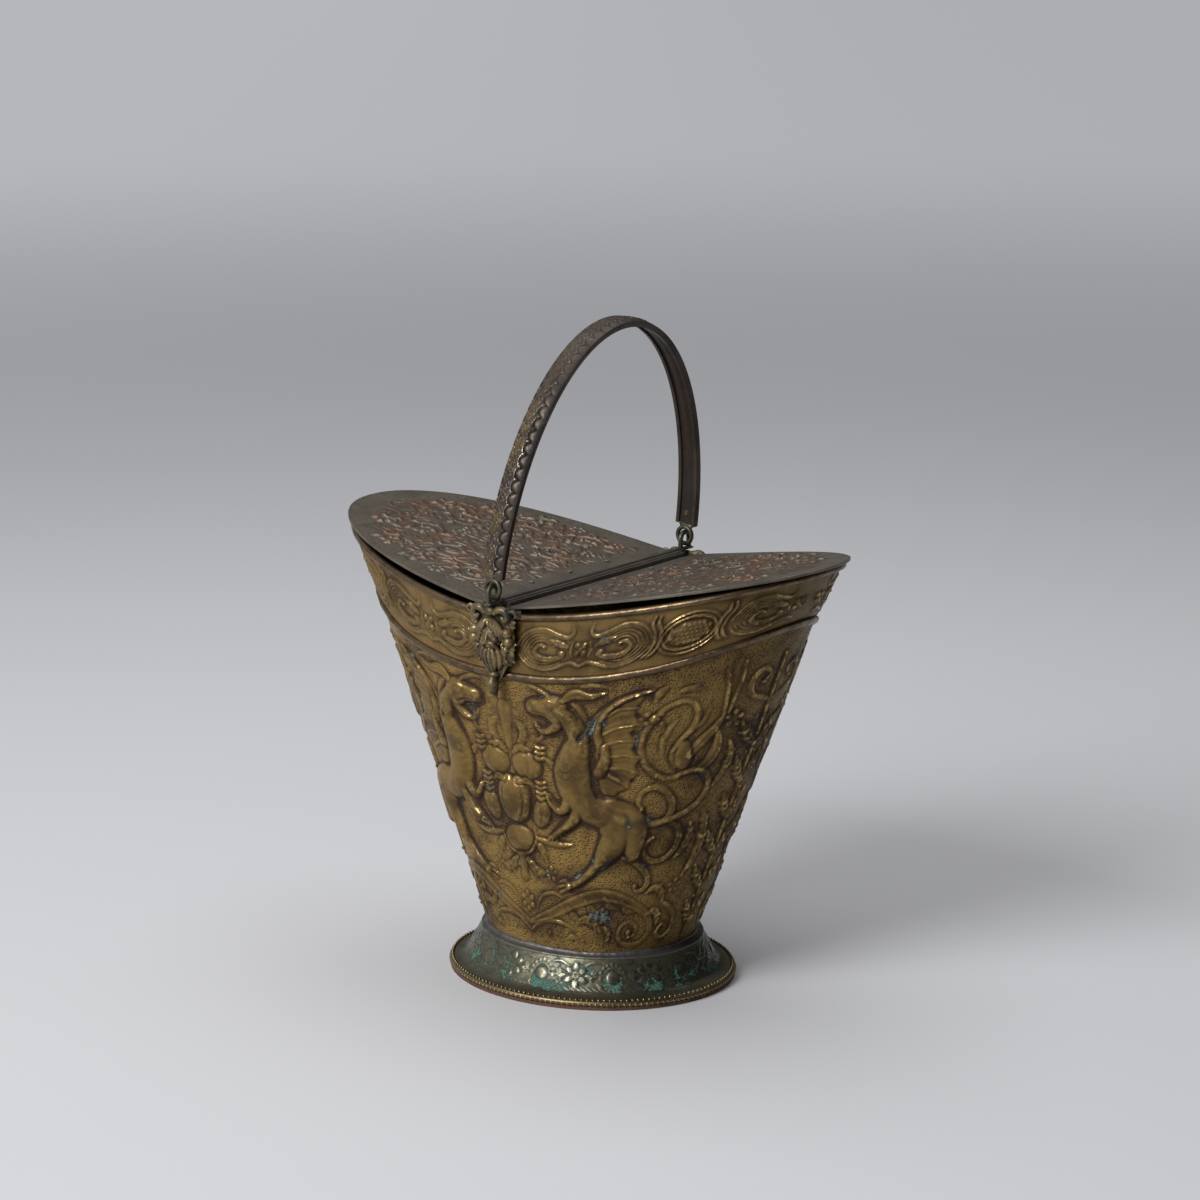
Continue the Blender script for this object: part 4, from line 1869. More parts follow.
@dataclass
class Lids:
    """The two curved flaps, with a plain border and a foliage relief."""

    half_length: float = 211.0
    half_width: float = 111.0
    inner_edge: float = 12.2
    hinge: float = 9.4
    root: float = 296.9
    rise: float = 35.8
    power: float = 1.1
    wall: float = 1.0
    lip_drop: float = 1.2
    lip_width: float = 1.4
    border: float = 17.0
    under_softness: float = 4.0
    under_share: float = 0.3
    rays: int = 400
    rings: int = 150
    # Each scroll's middle, outer and inner radius, starting angle and turns.
    SCROLLS: ClassVar[tuple[tuple[Pair, float, float, float, float], ...]] = (
        ((56, 24), 16, 3.2, 200, 1.4), ((58, 66), 17, 3.2, 160, -1.4), ((98, 42), 19, 3.4, 210, -1.5),
        ((104, 76), 10, 2.6, 250, 1.2), ((140, 24), 16, 3.0, 190, 1.4), ((140, 62), 12, 2.6, 200, -1.2),
        ((168, 36), 9, 2.4, 160, 1.2),
    )

    def _underside(self, x: np.ndarray) -> np.ndarray:
        """Gives the height of the underside at distance x from the middle."""
        reach = FORM.rim_half[0] - self.hinge
        return self.root + self.rise * (np.clip(x - self.hinge, 0, None) / reach) ** self.power

    def relief(self) -> Relief:
        """Chases half a lid: leafy scrolls, flowers and a ground of small leaves."""
        f = Relief(0, 214, 0, 113, step=0.6, moat=1.4, chase=0.35)
        for centre, outer, inner, start, turns in self.SCROLLS:
            points = spiral(centre, outer, inner, start, turns)
            f.scroll(points, (1.2, 2.4, 2.4, 2.0, 1.6, 1.2), 1.5)
            for k in range(6):
                x, y = points[k * 2]
                away = np.array([x - centre[0], y - centre[1]]) / outer
                aside = np.array([-away[1], away[0]]) * 5 * np.sign(turns)
                tip = (x + away[0] * 8 + aside[0], y + away[1] * 8 + aside[1])
                bend = ((x + tip[0]) / 2 + away[0], (y + tip[1]) / 2 + away[1])
                f.leaf([(x, y), bend, tip], (1.2, 2.8, 0.6), 1.5, 1)
        f.draw("""
            flower 78,8 | 8. 6 1.3; flower 38,45 | 6.5 5 1.3; flower 78,84 | 7. 6 1.3;
            flower 120,6 | 7. 5 1.3; flower 122,66 | 6. 5 1.3; flower 164,8 | 6.5 5 1.3;
            flower 38,82 | 6. 5 1.3
        """)
        self._fill(f)
        f.berries((40, 8), (6, 8), 3.0, 1.0)
        f.berries((82, 62), (7, 5), 2.8, 1.0)
        f.berries((160, 54), (6, 4), 2.6, 0.9)
        f.finish(0.4)
        return f

    def _fill(self, f: Relief) -> None:
        """Fills what is left of the centre with small leaves that follow soft curls."""
        rng = np.random.default_rng(8)
        near = 2.4 * np.array([[0, 1, -1, 0, 0], [0, 0, 0, 1, -1]])
        for x, y in rng.uniform((28, 0), (196, 98), (1600, 2)):
            inset = self.border + 5 + 4.5 * math.sin(x / 8) * math.cos(y / 10)
            reach = (x / (self.half_length - inset)) ** FORM.fullness
            reach += (y / (self.half_width - inset)) ** FORM.fullness
            if reach > 1 or f.read(f.bare, x + near[0], y + near[1]).min() < 0.9:
                continue
            turn = 1.9 * math.sin(x / 15) + 2.3 * math.cos(y / 12) + rng.uniform(-0.5, 0.5)
            size = rng.uniform(3.4, 6.4)
            dx, dy = size * math.cos(turn), size * math.sin(turn)
            rib = [(x - dx, y - dy), (x + 0.25 * dy, y - 0.25 * dx), (x + dx, y + dy)]
            f.leaf(rib, (0.7, 0.42 * size, 0.5), 0.85)


    def _rays(self) -> tuple[np.ndarray, np.ndarray]:
        """Gives the outline's points from end to end, evenly spaced along it."""
        t = np.linspace(-QUARTER_TURN, QUARTER_TURN, 6000)
        x, y = FORM.oval(self.half_length, self.half_width, t)
        keep = x >= self.inner_edge
        x, y = x[keep], y[keep]
        x[0] = x[-1] = self.inner_edge
        along = lengths(np.column_stack([x, y]))
        even = np.linspace(0, along[-1], self.rays)
        return np.interp(even, along, x), np.interp(even, along, y)

    def build(self) -> None:
        """Builds and dresses both lids."""
        pattern = self.relief()
        edge_x, edge_y = self._rays()
        out = np.hypot(edge_x - self.inner_edge, edge_y)
        shares = np.linspace(0, 1, self.rings)[None, :]
        inset = 0.55 / out[:, None]
        top_share = shares * (1 - inset)
        x = self.inner_edge + (edge_x[:, None] - self.inner_edge) * top_share
        y = edge_y[:, None] * top_share
        height = pattern.read(pattern.height, x, np.abs(y))
        waves = 0.25 * noise_bumps(np.stack([x, y, 0 * x], axis=-1).reshape(-1, 3), 60, 31).reshape(x.shape)
        z = self._underside(x) + self.wall + height + np.clip(waves, -0.3, 0)
        masks = pattern.masks_at(x, np.abs(y))
        away = out[:, None] * (1 - top_share)
        ragged = self.border + 2 + 5 * np.sin(x / 8) * np.cos(y / 10)
        inside = np.clip((away - ragged) / 5, 0, 1) * np.clip((x - 24) / 8, 0, 1)
        masks["zone"] = inside
        masks["crest"] = np.clip(0.55 * masks["crest"] + 0.9 * np.exp(-((away / 1.6) ** 2)), 0, 1)
        under = 1 - self.lip_width / out
        steps = (
            (1.0, self.wall - 0.25), (1.0, -self.lip_drop + 0.3), (0.996, -self.lip_drop),
            (under, -self.lip_drop), (under, 0.0),
        )
        skirt_x, skirt_y, skirt_z = [], [], []
        for share, drop in steps:
            skirt_x.append(self.inner_edge + (edge_x - self.inner_edge) * share)
            skirt_y.append(edge_y * share)
            skirt_z.append(self._underside(skirt_x[-1]) + drop)
        back = np.linspace(1, 0, 34)[None, 1:] * under[:, None]
        back_x = self.inner_edge + (edge_x[:, None] - self.inner_edge) * back
        soft = blur(pattern.height, self.under_softness / pattern.step)
        back_y = edge_y[:, None] * back
        hollows = pattern.read(soft, back_x, np.abs(back_y)) * np.clip((0.985 - back) * 12, 0, 1)
        back_z = self._underside(back_x) + self.under_share * hollows
        all_x = np.hstack([x, np.array(skirt_x).T, back_x])
        all_y = np.hstack([y, np.array(skirt_y).T, back_y])
        all_z = np.hstack([z, np.array(skirt_z).T, back_z])
        extra = all_x.shape[1] - x.shape[1]
        filled = {name: np.hstack([mask, np.zeros((len(out), extra))]) for name, mask in masks.items()}
        for side, body, hand in ((1, Body.LID_RIGHT, "right"), (-1, Body.LID_LEFT, "left")):
            shape = Shape(f"lid_{hand}_embossed")
            start = shape.add_grid(Skin(np.stack([all_x * side, all_y, all_z], axis=-1), filled))
            count = all_x.shape[1]
            for ray in (0, self.rays - 1):
                shape.cap(start + ray * count, count)
            take_place(shape.build(), body, (f"lid_panel_{hand}",), LID_COPPER)


# ---- Bail ------------------------------------------------------------------------


@dataclass
class Bail:
    """The swinging bail: crowned strap, inner strip, eyes and hooks."""

    half_span: float = 119.5
    rise: float = 184.5
    pivot: float = 310.3
    lean: float = 8.0
    width: float = 18.0
    depth: float = 6.5
    crown: float = 2.0
    wall: float = 1.2
    lip: float = 3.5
    end: float = 9.0
    eye_half_span: float = 115.0
    eye_diameter: float = 16.1
    eye_wire: float = 3.5
    hook_wire: float = 3.8
    hook_gap: float = 6.6
    hook_low: float = 299.15
    block_half_span: float = 110.4
    block_levels: Triple = (293.3, 297.0, 301.1)
    steps: int = 620
    pitch: float = 9.4
    # Leaf tips on one half of the strap: place along it, place across it, and the way they curl.
    LEAF_TIPS: ClassVar[tuple[tuple[float, float, int], ...]] = (
        (0, -7.6, 1), (3.4, -6.4, -1), (6.4, -7.9, 1), (1.2, -4.4, -1),
        (4.6, -3.6, 1), (7.8, -4.6, -1), (2.6, -1.6, 1), (6.8, -1.9, -1),
    )

    def _lean_matrix(self) -> Matrix:
        """Gives the bail's stance about its pivot line."""
        centre = Vector((0, 0, self.pivot * MM))
        turn = Matrix.Rotation(math.radians(self.lean), 4, "Y")
        return Matrix.Translation(centre) @ turn @ Matrix.Translation(-centre)

    def _point(self, t: np.ndarray, across: np.ndarray, depth: np.ndarray) -> np.ndarray:
        """Gives a point of the strap before it leans.

        Args:
            t: Angle along the arch.
            across: Distance across the strap.
            depth: Depth below the outer face.

        Returns:
            The points.
        """
        a, b = self.half_span, self.rise
        ny, nz = np.cos(t) / a, np.sin(t) / b
        size = np.hypot(ny, nz)
        y = a * np.cos(t) - depth * ny / size
        z = self.pivot + b * np.sin(t) - depth * nz / size
        return np.stack(np.broadcast_arrays(across, y, z), axis=-1)

    def _sweep(self, t: np.ndarray, section: list[Pair]) -> np.ndarray:
        """Carries a section, given as distances across and depths, along the arch."""
        lines = [self._point(t, np.full(t.shape, x), np.full(t.shape, d)) for x, d in section]
        return np.stack(lines, axis=1)

    def _scales(self) -> Relief:
        """Chases one repeat of the outer face: leaf tips on one half, a row of scales on the other."""
        f = Relief(-self.pitch, 2 * self.pitch, -9.2, 9.2, step=0.15, moat=0.6, chase=0.25)
        for k in range(-2, 4):
            x = k * self.pitch
            for spot, side, way in self.LEAF_TIPS:
                spot += x
                tip = [(spot, side - way), (spot + 0.9, side), (spot + 3.4, side + 1.3 * way)]
                f.leaf(tip, (0.6, 1.2, 0.3), 0.7)
            middle, end = x + self.pitch / 2, x + self.pitch
            scale = [(x + 0.7, 8.0), (end - 0.7, 8.0), (end - 1.1, 4.2), (middle, 1.7), (x + 1.1, 4.2)]
            f.mass(scale, 0.75, 3.6, sink=0.6)
            wave = [(x, 3.9), (x + 0.9, 1.9), (middle, 0.7), (end - 0.9, 1.9), (end, 3.9)]
            f.stroke(wave, (0.75, 0.75), 1.25, sink=0.1)
        f.finish(0.2)
        return f

    def _angles(self, lift: float, count: int) -> np.ndarray:
        """Gives angles from one square end of the arch to the other, evenly spaced along it."""
        start = math.asin((self.end + lift) / self.rise)
        t = np.linspace(start, math.pi - start, 4000)
        points = self._point(t, np.zeros_like(t), np.zeros_like(t))
        along = lengths(points)
        return np.interp(np.linspace(0, along[-1], count), along, t)

    def _strap(self) -> None:
        """Builds the crowned strap."""
        pattern = self._scales()
        t = self._angles(0, self.steps)
        middle = self._point(t, np.zeros_like(t), np.zeros_like(t))
        along = lengths(middle)
        half = self.width / 2
        across = np.linspace(-half, half, 49)
        rows = np.abs(along - along[-1] / 2) % self.pitch
        spot = np.broadcast_to(rows[:, None], (len(t), len(across)))
        side = np.broadcast_to(across[None, :], spot.shape)
        ends = np.clip((np.minimum(along, along[-1] - along)[:, None] - 1.5) / 1.5, 0, 1)
        plain = np.clip((half - np.abs(side)) / 0.8, 0, 1) * ends
        slant = np.degrees(np.minimum(t, math.pi - t))
        fresh = np.clip((54 - slant) / 18, 0, 1)[:, None]
        height = pattern.read(pattern.height, spot, side) * plain * (0.22 + 0.78 * fresh)
        sink = 0.75 * plain
        depth = self.crown * (across / half)[None, :] ** 2 + sink - height
        outer = self._point(t[:, None], across[None, :], np.clip(depth, 0.0, None))
        masks = pattern.masks_at(spot, side)
        lip, inner, low = half - self.lip, half - self.wall, self.depth
        side_run = [(half, self.crown + 0.5), (half, low - 0.8), (half - 0.5, low - 0.1), (half - 1.2, low)]
        side_run += [(lip + 0.4, low), (lip, low - 0.4), (lip, low - self.wall)]
        side_run += [(inner, low - self.wall), (inner, self.crown + self.wall + 0.4)]
        inside = np.linspace(inner, -inner, 9)[1:-1]
        run = side_run + [(x, self.wall + 0.55 + self.crown * (x / half) ** 2) for x in inside]
        run += [(-x, d) for x, d in reversed(side_run)]
        grid = np.concatenate([outer, self._sweep(t, run)], axis=1)
        extra = np.zeros((len(t), len(run)))
        shape = Shape("bail_strap_chased")
        worn = np.clip(0.4 + side, 0.4, 1) * np.clip(1.5 - 0.25 * side, 0.25, 1)
        masks["crest"] = masks["crest"] * (0.1 + 0.9 * fresh) * worn
        masks["zone"] = np.clip(0.5 - side, 0, 1) * (0.3 + 0.7 * fresh)
        filled = {name: np.hstack([mask, extra]) for name, mask in masks.items()}
        start = shape.add_grid(Skin(grid, filled), wrap_cols=True)
        count = grid.shape[1]
        for row in (0, len(t) - 1):
            shape.cap(start + row * count, count)
        self._finish(shape, ("bail_strap",), BAIL_BRONZE)

    def _strip(self) -> None:
        """Builds the flat strip between the strap's lips, with its raised middle line."""
        t = self._angles(0.6, 220)
        half = self.width / 2 - self.wall - 0.3
        low = self.depth - self.wall - 0.1
        section = [(-half, low), (-half, low - 1.3), (half, low - 1.3), (half, low)]
        section += [(2.6, low), (1.6, low + 0.35), (-1.6, low + 0.35), (-2.6, low)]
        grid = self._sweep(t, section)
        middle = np.exp(-((np.array([x for x, _ in section]) / 2.2) ** 2))
        shape = Shape("bail_inner_strip_plain")
        start = shape.add_grid(Skin(grid, {"zone": middle}), wrap_cols=True)
        count = len(section)
        for row in (0, len(t) - 1):
            shape.cap(start + row * count, count)
        self._finish(shape, ("bail_inner_strip",), STRIP_BRONZE)

    def _eye(self, end: int, name: str, node: str) -> None:
        """Builds one eye: a ring that thickens into the shank and tongue.

        Args:
            end: -1 at the front, 1 at the back.
            name: Name of the piece.
            node: CAD node that it stands for.
        """
        ring = (self.eye_diameter - self.eye_wire) / 2
        y = end * self.eye_half_span
        angle = np.linspace(0, 2 * math.pi, 64, endpoint=False)
        path = np.stack([ring * np.sin(angle), 0 * angle + y, self.pivot + ring * np.cos(angle)], axis=-1)
        swell = 0.25 * np.exp(-((np.minimum(angle, 2 * math.pi - angle) / 0.7) ** 2))
        radius = self.eye_wire / 2 * (0.98 + 0.02 * np.sin(3 * angle))
        shape = Shape(name)
        tube(shape, path, np.column_stack([radius, radius * (1 + swell * 0.2)]), 20, closed=True)
        stop = self.pivot + self.end
        low, high = self.pivot + ring - 0.8, stop + 9
        z = np.linspace(low, high, 14)
        bend = np.interp(z, [low, stop, high], [y, y + end * 0.7, y + end * 0.2])
        shank = np.stack([np.zeros_like(z), bend, z], axis=-1)
        wide = np.interp(z, [low, low + 1.5, stop - 0.4, stop + 0.3, high], [4.4, 6.2, 7.0, 4.2, 4.2])
        tube(shape, shank, np.column_stack([wide, np.full(z.shape, 1.25)]), 20)
        self._finish(shape, (node,), EYE_BRONZE)

    def _finish(self, shape: Shape, nodes: tuple[str, ...], finish: Metal) -> None:
        """Leans a finished shape and gives it its place."""
        made = shape.build(40)
        made.data.transform(self._lean_matrix())
        take_place(made, Body.BAIL, nodes, finish)

    def _hook(self, end: int, name: str, node: str) -> None:
        """Builds one hook: a loop on a moulded foot.

        Args:
            end: -1 at the front, 1 at the back.
            name: Name of the piece.
            node: CAD node that it stands for.
        """
        radius = (self.hook_gap + self.hook_wire) / 2
        top = self.pivot + self.eye_diameter / 2 - self.eye_wire - self.hook_wire / 2 - 0.3
        middle = end * self.eye_half_span
        low = self.hook_low
        path = [(0, middle - radius, low)]
        path += [(0, middle - radius, z) for z in np.linspace(low + 1, top - radius, 6)]
        bend = arc((middle, top - radius), -radius, radius, np.linspace(0.2, math.pi - 0.2, 16))
        path += [(0, y, z) for y, z in bend]
        path += [(0, middle + radius, z) for z in np.linspace(top - radius, low + 1, 6)]
        path += [(0, middle + radius, low)]
        shape = Shape(name)
        wire = np.full(len(path), self.hook_wire / 2 - 0.03)
        tube(shape, np.array(path), wire, 20)
        reach = end * (radius + 1.8)
        base = np.array([(0, middle + reach, low + 1), (0, middle - reach, low + 1)])
        tube(shape, smooth_path(base, 8), np.tile([3.4, 1.0], (9, 1)), 20)
        block = np.array([(0, end * self.block_half_span, z) for z in self.block_levels])
        wide = np.interp(np.linspace(0, 1, 17), [0, 0.5, 1], [4.9, 4.6, 3.6])
        tube(shape, smooth_path(block, 8), np.column_stack([wide, np.full(17, 2.4)]), 24)
        take_place(shape.build(40), Body.BUCKET, (node,), EYE_BRONZE)

    def build(self) -> None:
        """Builds and dresses the bail and its hooks."""
        self._strap()
        self._strip()
        for end, side in ((-1, "front"), (1, "back")):
            self._eye(end, f"bail_eye_{side}_cast", f"bail_eye_{side}")
            self._hook(end, f"hook_{side}_cast", f"hook_{side}")
        dress_node("bail_rivets", CAST_BRASS)


# ---- Mounts ------------------------------------------------------------------------


@dataclass
class Mount:
    """A cast mount: a mask among vine leaves and grapes, with a pendant bud."""

    end: int
    back_face: float = 113.7
    rim_side: float = 292.8
    lean: float = 3.62
    plate: float = 2.4
    voxel: float = 0.42

    # Round masses as place | half axes, and strands as points | radii, in the mount's own plane.
    MIDDLE_BALLS: ClassVar[str] = """
        0,-16,3.5 | 8.2 11.5 6.5; 0,-11,5.4 | 6.2 4.4 3.6; 0,-17.6,10.4 | 1.5 1.3 1.6;
        0,-22.6,8.2 | 1.9 .9 1.3; 0,2,4.4 | 4.4 3.8 3.2; 0,-44.6,3.8 | 4.4 2.5 3.3
    """
    SIDE_BALLS: ClassVar[str] = """
        3.1,-14.4,7.9 | 1.6 1 1.1; 4.5,-17.8,6.9 | 3 2.9 2.4; 1.3,-17.9,9.6 | 1 .9 1;
        13,-29.5,1.4 | 5 7.5 1.8; 14.5,-15.5,1.6 | 4.5 6.5 2; 14.4,-12.6,4.2 | 4 4 4;
        15.4,-18.8,4.2 | 3.9 3.9 3.9;
        12.6,-24.6,4.2 | 2.4 2.4 2.4
    """
    SIDE_BARS: ClassVar[str] = """
        1.2,-12.3,8.8 3.4,-12,8.4 5.8,-13,6.8 | .7 .9 .5;
        .6,-19.6,9.4 4.2,-20.9,8.4 7.6,-24.8,6.2 | 1.1 1.7 .7;
        9.2,-9,5 10.8,-14,4.6 9.8,-19.5,4.2 | 1.5 2.2 1;
        2.4,-25,7.4 3.9,-30,7.2 2.9,-37,5.4 1,-42,4 | 1.5 2.3 2 .8;
        5.9,-23.5,6.4 7.7,-29,5.8 6.8,-36,4.4 4.4,-41,3.2 | 1.3 2.3 2 .8;
        8.8,-20.5,4.6 10.8,-27,4 9.8,-35,3 | 1.2 2.1 .8;
        3.6,.5,4.8 8.4,3.9,5 13.2,3.7,4.6 15.4,-.4,4.4 12.7,-3.4,4.4 10.1,-1,4.4 | 2 2.8 2.7 2.4 2 1.5;
        15.4,2.4,3.2 19.2,4,3 21.9,1.4,2.6 19.8,-1.2,2.4 | 1.2 1.5 1.3 .8;
        4.2,4.4,2.6 8.5,5,2.6 12,4.6,2.4 | 1.2 1.5 .9
    """
    MIDDLE_BARS: ClassVar[str] = """
        .3,-24.5,7.6 -.2,-31,7.6 .3,-38,6 0,-43,4.4 | 1.2 1.9 1.6 .9;
        0,-12,8.8 0,-15,9.8 0,-17.4,10.6 | .9 1.1 1.4;
        -2.7,-21,8 0,-20.6,9.2 2.7,-21,8 | .5 .8 .5;
        0,-46,3.8 0,-50.5,5 0,-55.5,4.6 0,-60,2.9 0,-62.5,2.1 | 2.7 4.5 4 1.7 .8;
        0,-62,2.1 0,-65.9,1.7 | .9 .6
    """
    # Vine leaves: base, spread and size.
    LEAVES: ClassVar[tuple[tuple[Pair, float, float], ...]] = (
        ((11.5, -21.5), 0.1, 9.0), ((8.8, -30.5), -0.35, 10.0), ((13.0, -7.0), 0.35, 8.0),
    )

    def _place(self) -> Matrix:
        """Gives the transform from the mount's own plane to the frame."""
        turn = Matrix.Rotation(math.pi if self.end > 0 else 0, 4, "Z")
        move = Matrix.Translation((0, -self.back_face * MM, self.rim_side * MM))
        tilt = Matrix.Rotation(math.radians(self.lean), 4, "X") @ Matrix.Rotation(QUARTER_TURN, 4, "X")
        return turn @ move @ tilt

    def _balls(self) -> list[list[tuple]]:
        """Lists the round masses, each as its place and half axes."""
        balls = self._halves(self.MIDDLE_BALLS)
        for side in (-1, 1):
            balls += self._halves(self.SIDE_BALLS, side)
        return balls

    def _halves(self, forms: str, side: int = 1) -> list[list]:
        """Reads a list of forms, mirrored where side is -1."""
        return [[[(side * x, y, z) for x, y, z in first], *rest] for first, *rest in read_forms(forms)]

    def _bars(self) -> list[list[list]]:
        """Lists the modelled strands, each as its points and radii."""
        bars = []
        for side in (-1, 1):
            for k in range(5):
                lock = [
                    (side * (0.4 + 1.2 * k), -2.4 - 0.4 * k, 8.2 - 0.5 * k),
                    (side * (1.8 + 2.1 * k), -5.2 - 1.3 * k, 9.6 - 0.9 * k),
                    (side * (2.9 + 2.2 * k), -8.6 - 3.2 * k, 9.0 - 0.9 * k),
                ]
                bars.append([lock, (1.2, 1.8, 0.9)])
            bars += self._halves(self.SIDE_BARS, side)
        return bars + self._halves(self.MIDDLE_BARS)

    def _leaves(self, shape: Shape) -> None:
        """Adds the lobed vine leaves behind the grapes as thin fans of ribs."""
        for side in (-1, 1):
            for base, spread, size in self.LEAVES:
                for k in range(5):
                    angle = spread + (k - 2) * 0.52
                    reach = size * (1 - 0.13 * abs(k - 2))
                    rib = [
                        (side * (base[0] + out * math.cos(angle)), base[1] + out * math.sin(angle), height)
                        for out, height in ((0, 2.2), (reach * 0.55, 2.0), (reach, 1.3))
                    ]
                    path = smooth_path(np.array(rib), 5)
                    wide = np.interp(np.linspace(0, 1, len(path)), [0, 0.6, 1], [1.4, 2.6, 0.7])
                    tube(shape, path, np.column_stack([np.full(len(path), 1.2), wide]), 10)

    def build(self) -> None:
        """Casts the mount in one piece and dresses it."""
        side = "front" if self.end < 0 else "back"
        shape = Shape(f"mount_{side}_cast")
        half = [(9, 5.4), (16, 3.0), (17.5, -8), (17.5, -24), (12.5, -36), (6, -46), (3, -52)]
        around = half + [(-x, y) for x, y in reversed(half)]
        plate = around[-2:] + around[:-2]
        low = shape.add_points(Skin(np.array([[(x, y, z) for x, y in plate] for z in (0.0, self.plate)])))
        count = len(plate)
        shape.cap(low, count, turned=True)
        shape.cap(low + count, count)
        for k in range(count):
            n = (k + 1) % count
            shape.faces.append((low + k, low + n, low + count + n, low + count + k))
        for points, radii in self._bars():
            path = smooth_path(np.array(points), 8)
            share = np.linspace(0, len(radii) - 1, len(path))
            tube(shape, path, np.interp(share, range(len(radii)), radii), 12)
        self._leaves(shape)
        made = shape.build()
        work = bmesh.new()
        work.from_mesh(made.data)
        for (place,), radii in self._balls():
            matrix = Matrix.Translation(Vector(place) * MM) @ Matrix.Diagonal((*(Vector(radii) * MM), 1))
            bmesh.ops.create_icosphere(work, subdivisions=3, radius=1, matrix=matrix)
        work.to_mesh(made.data)
        work.free()
        self._fuse(made)
        made.data.transform(self._place())
        self._wear(made)
        take_place(made, Body.BUCKET, (f"mount_{side}",), CAST_BRASS)

    def _fuse(self, made: bpy.types.Object) -> None:
        """Melts the masses into one closed skin and softens it a little."""
        remesh = made.modifiers.new("fuse", "REMESH")
        remesh.mode = "VOXEL"
        remesh.voxel_size = self.voxel * MM
        soften = made.modifiers.new("soften", "SMOOTH")
        soften.iterations = 2
        soften.factor = 0.5
        mesh = bpy.data.meshes.new_from_object(made.evaluated_get(bpy.context.evaluated_depsgraph_get()))
        made.modifiers.clear()
        made.data = mesh
        mesh.shade_smooth()

    def _wear(self, made: bpy.types.Object) -> None:
        """Marks the casting's hollows and crests from its own curvature."""
        mesh = made.data
        count = len(mesh.vertices)
        points = np.zeros(count * 3)
        normals = np.zeros(count * 3)
        mesh.vertices.foreach_get("co", points)
        mesh.vertices.foreach_get("normal", normals)
        points, normals = points.reshape(-1, 3) / MM, normals.reshape(-1, 3)
        edges = np.zeros(len(mesh.edges) * 2, dtype=int)
        mesh.edges.foreach_get("vertices", edges)
        edges = edges.reshape(-1, 2)
        bend = np.zeros(count)
        links = np.maximum(np.bincount(edges.ravel(), minlength=count), 1)
        step = points[edges[:, 1]] - points[edges[:, 0]]
        np.add.at(bend, edges[:, 0], np.einsum("ij,ij->i", step, normals[edges[:, 0]]))
        np.add.at(bend, edges[:, 1], -np.einsum("ij,ij->i", step, normals[edges[:, 1]]))
        bend /= links
        for _ in range(3):
            total = np.zeros(count)
            np.add.at(total, edges[:, 0], bend[edges[:, 1]])
            np.add.at(total, edges[:, 1], bend[edges[:, 0]])
            bend = 0.4 * bend + 0.6 * total / links
        upper = np.clip((points[:, 2] - self.rim_side + 8) / 10, 0, 1)
        marks = {"hollow": np.clip(bend * 22, 0, 1), "crest": np.clip(-bend * 14 - 0.2, 0, 1), "zone": upper}
        for key, values in marks.items():
            mesh.attributes.new(key, "FLOAT", "POINT").data.foreach_set("value", values.astype(np.float32))


# ---- Studio --------------------------------------------------------------------------


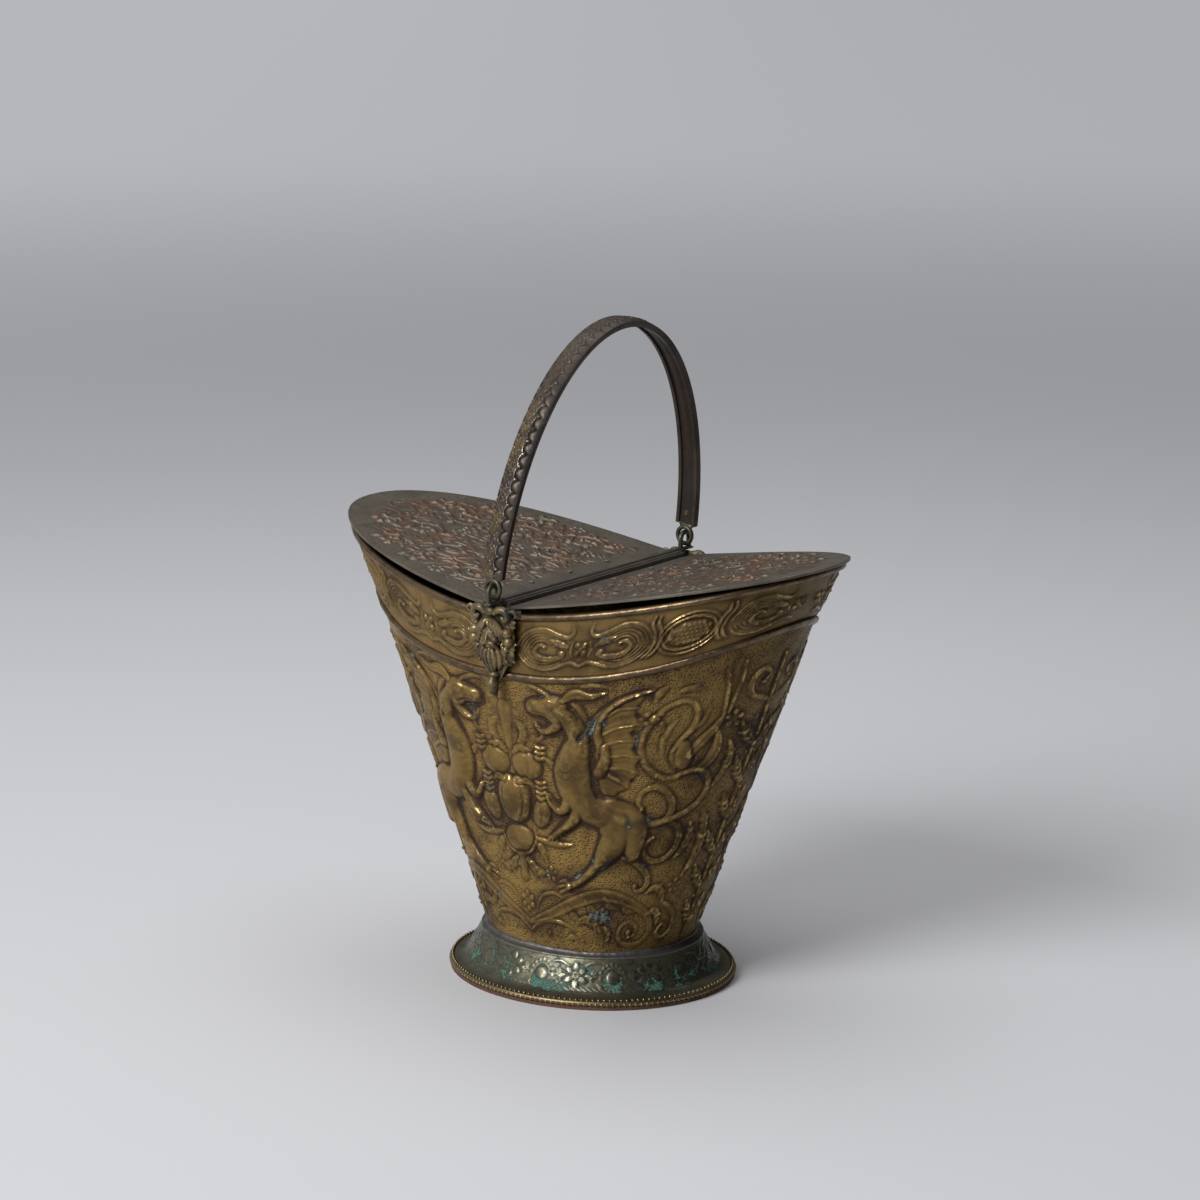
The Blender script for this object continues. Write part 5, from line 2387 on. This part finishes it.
@dataclass
class Studio:
    """A pale floor, soft lamps and the camera."""

    camera_place: Triple = (1.603, -2.087, 0.889)
    camera_turn: Triple = (76.99, 0.0, 37.4)
    lens: float = 110.56
    floor_size: float = 60.0
    lamps: tuple[tuple[str, Triple, float, float], ...] = (
        ("key_softbox", (-0.65, -3.6, 2.5), 2.0, 165.0),
        ("top_softbox", (-0.2, 0.4, 2.4), 2.0, 26.0),
    )
    world_right: float = 0.02
    world_left: float = 0.48
    world_overhead: float = 0.06
    near: float = 0.9
    far: float = 6.0

    def _floor(self) -> None:
        """Lays the pale floor."""
        half = self.floor_size / 2
        mesh = bpy.data.meshes.new("studio_floor")
        corners = [(-half, -half, 0), (half, -half, 0), (half, half, 0), (-half, half, 0)]
        mesh.from_pydata(corners, [], [(0, 1, 2, 3)])
        floor = bpy.data.objects.new("studio_floor", mesh)
        bpy.context.scene.collection.objects.link(floor)
        paint = bpy.data.materials.new("studio_floor_paint")
        paint.use_nodes = True
        book = Book(paint.node_tree)
        place = book.place()
        mottle = book.noise(place, 1.2, 2.0)
        color = book.mix(mottle, (0.60, 0.605, 0.625, 1), (0.63, 0.635, 0.655, 1))
        rays = book.add("ShaderNodeLightPath").outputs
        mirrored = book.math("ADD", rays["Is Glossy Ray"], rays["Is Transmission Ray"])
        seen = book.math("ADD", rays["Is Camera Ray"], mirrored, True)
        color = book.mix(seen, (0.17, 0.17, 0.178, 1), color)
        matt = {"Base Color": color, "Roughness": 0.9, "Specular IOR Level": 0.1}
        shader = book.add("ShaderNodeBsdfPrincipled", matt)
        away = book.add("ShaderNodeVectorMath", {0: place}, operation="LENGTH").outputs["Value"]
        side = book.leftwards(place)
        pale = book.mix(book.ramp(side, -1.5, 1.5), (0.415, 0.425, 0.45, 1), (0.47, 0.475, 0.50, 1))
        backdrop = book.add("ShaderNodeEmission", {"Color": pale, "Strength": 1.0})
        far = book.math("MULTIPLY", seen, book.ramp(away, self.near, self.far))
        surface = book.add("ShaderNodeMixShader", {0: far, 1: shader.outputs[0], 2: backdrop.outputs[0]})
        book.add("ShaderNodeOutputMaterial", {"Surface": surface.outputs[0]})
        mesh.materials.append(paint)

    def _lamps(self) -> None:
        """Hangs the softboxes, each turned to the scuttle."""
        for name, place, size, power in self.lamps:
            data = bpy.data.lights.new(name, "AREA")
            data.shape = "SQUARE"
            data.size = size
            data.energy = power
            lamp = bpy.data.objects.new(name, data)
            lamp.location = place
            lamp.rotation_euler = (Vector((0, 0, 0.2)) - Vector(place)).to_track_quat("-Z", "Y").to_euler()
            bpy.context.scene.collection.objects.link(lamp)

    def _world(self) -> None:
        """Sets the plain surrounding light, a little brighter overhead."""
        world = bpy.data.worlds.new("studio_surround")
        world.use_nodes = True
        book = Book(world.node_tree)
        direction = book.add("ShaderNodeTexCoord").outputs["Generated"]
        height = book.add("ShaderNodeSeparateXYZ", {0: direction}).outputs[2]
        side = book.leftwards(direction)
        across = book.ramp(side, -0.3, 1.0, self.world_right, self.world_left)
        level = book.math("ADD", across, book.ramp(height, 0.0, 1.0, 0.0, self.world_overhead))
        blue = book.math("MULTIPLY", level, 1.03)
        shade = book.add("ShaderNodeCombineColor", {0: level, 1: level, 2: blue}).outputs[0]
        surround = book.add("ShaderNodeBackground", {"Color": shade, "Strength": 1.0})
        book.add("ShaderNodeOutputWorld", {"Surface": surround.outputs[0]})
        bpy.context.scene.world = world

    def _camera(self) -> None:
        """Sets the camera at the photograph's angle."""
        data = bpy.data.cameras.new("photo_camera")
        data.sensor_width = 36
        data.lens = self.lens
        camera = bpy.data.objects.new("photo_camera", data)
        camera.location = self.camera_place
        camera.rotation_euler = [math.radians(angle) for angle in self.camera_turn]
        bpy.context.scene.collection.objects.link(camera)
        bpy.context.scene.camera = camera

    def build(self) -> None:
        """Sets up the studio."""
        self._floor()
        self._lamps()
        self._world()
        self._camera()
        bpy.context.scene.view_settings.view_transform = "Standard"


def main() -> None:
    """Builds the scuttle piece by piece."""
    logging.basicConfig(level=logging.INFO, format="%(name)s: %(message)s")
    Studio().build()
    Foot().build()
    BodySheets().build()
    UpperBand().build()
    Trim().build()
    CrossBar().build()
    Lids().build()
    Bail().build()
    for end in (-1, 1):
        Mount(end).build()
    dress_node("mount_rivets", CAST_BRASS)


if __name__ == "__main__":
    main()
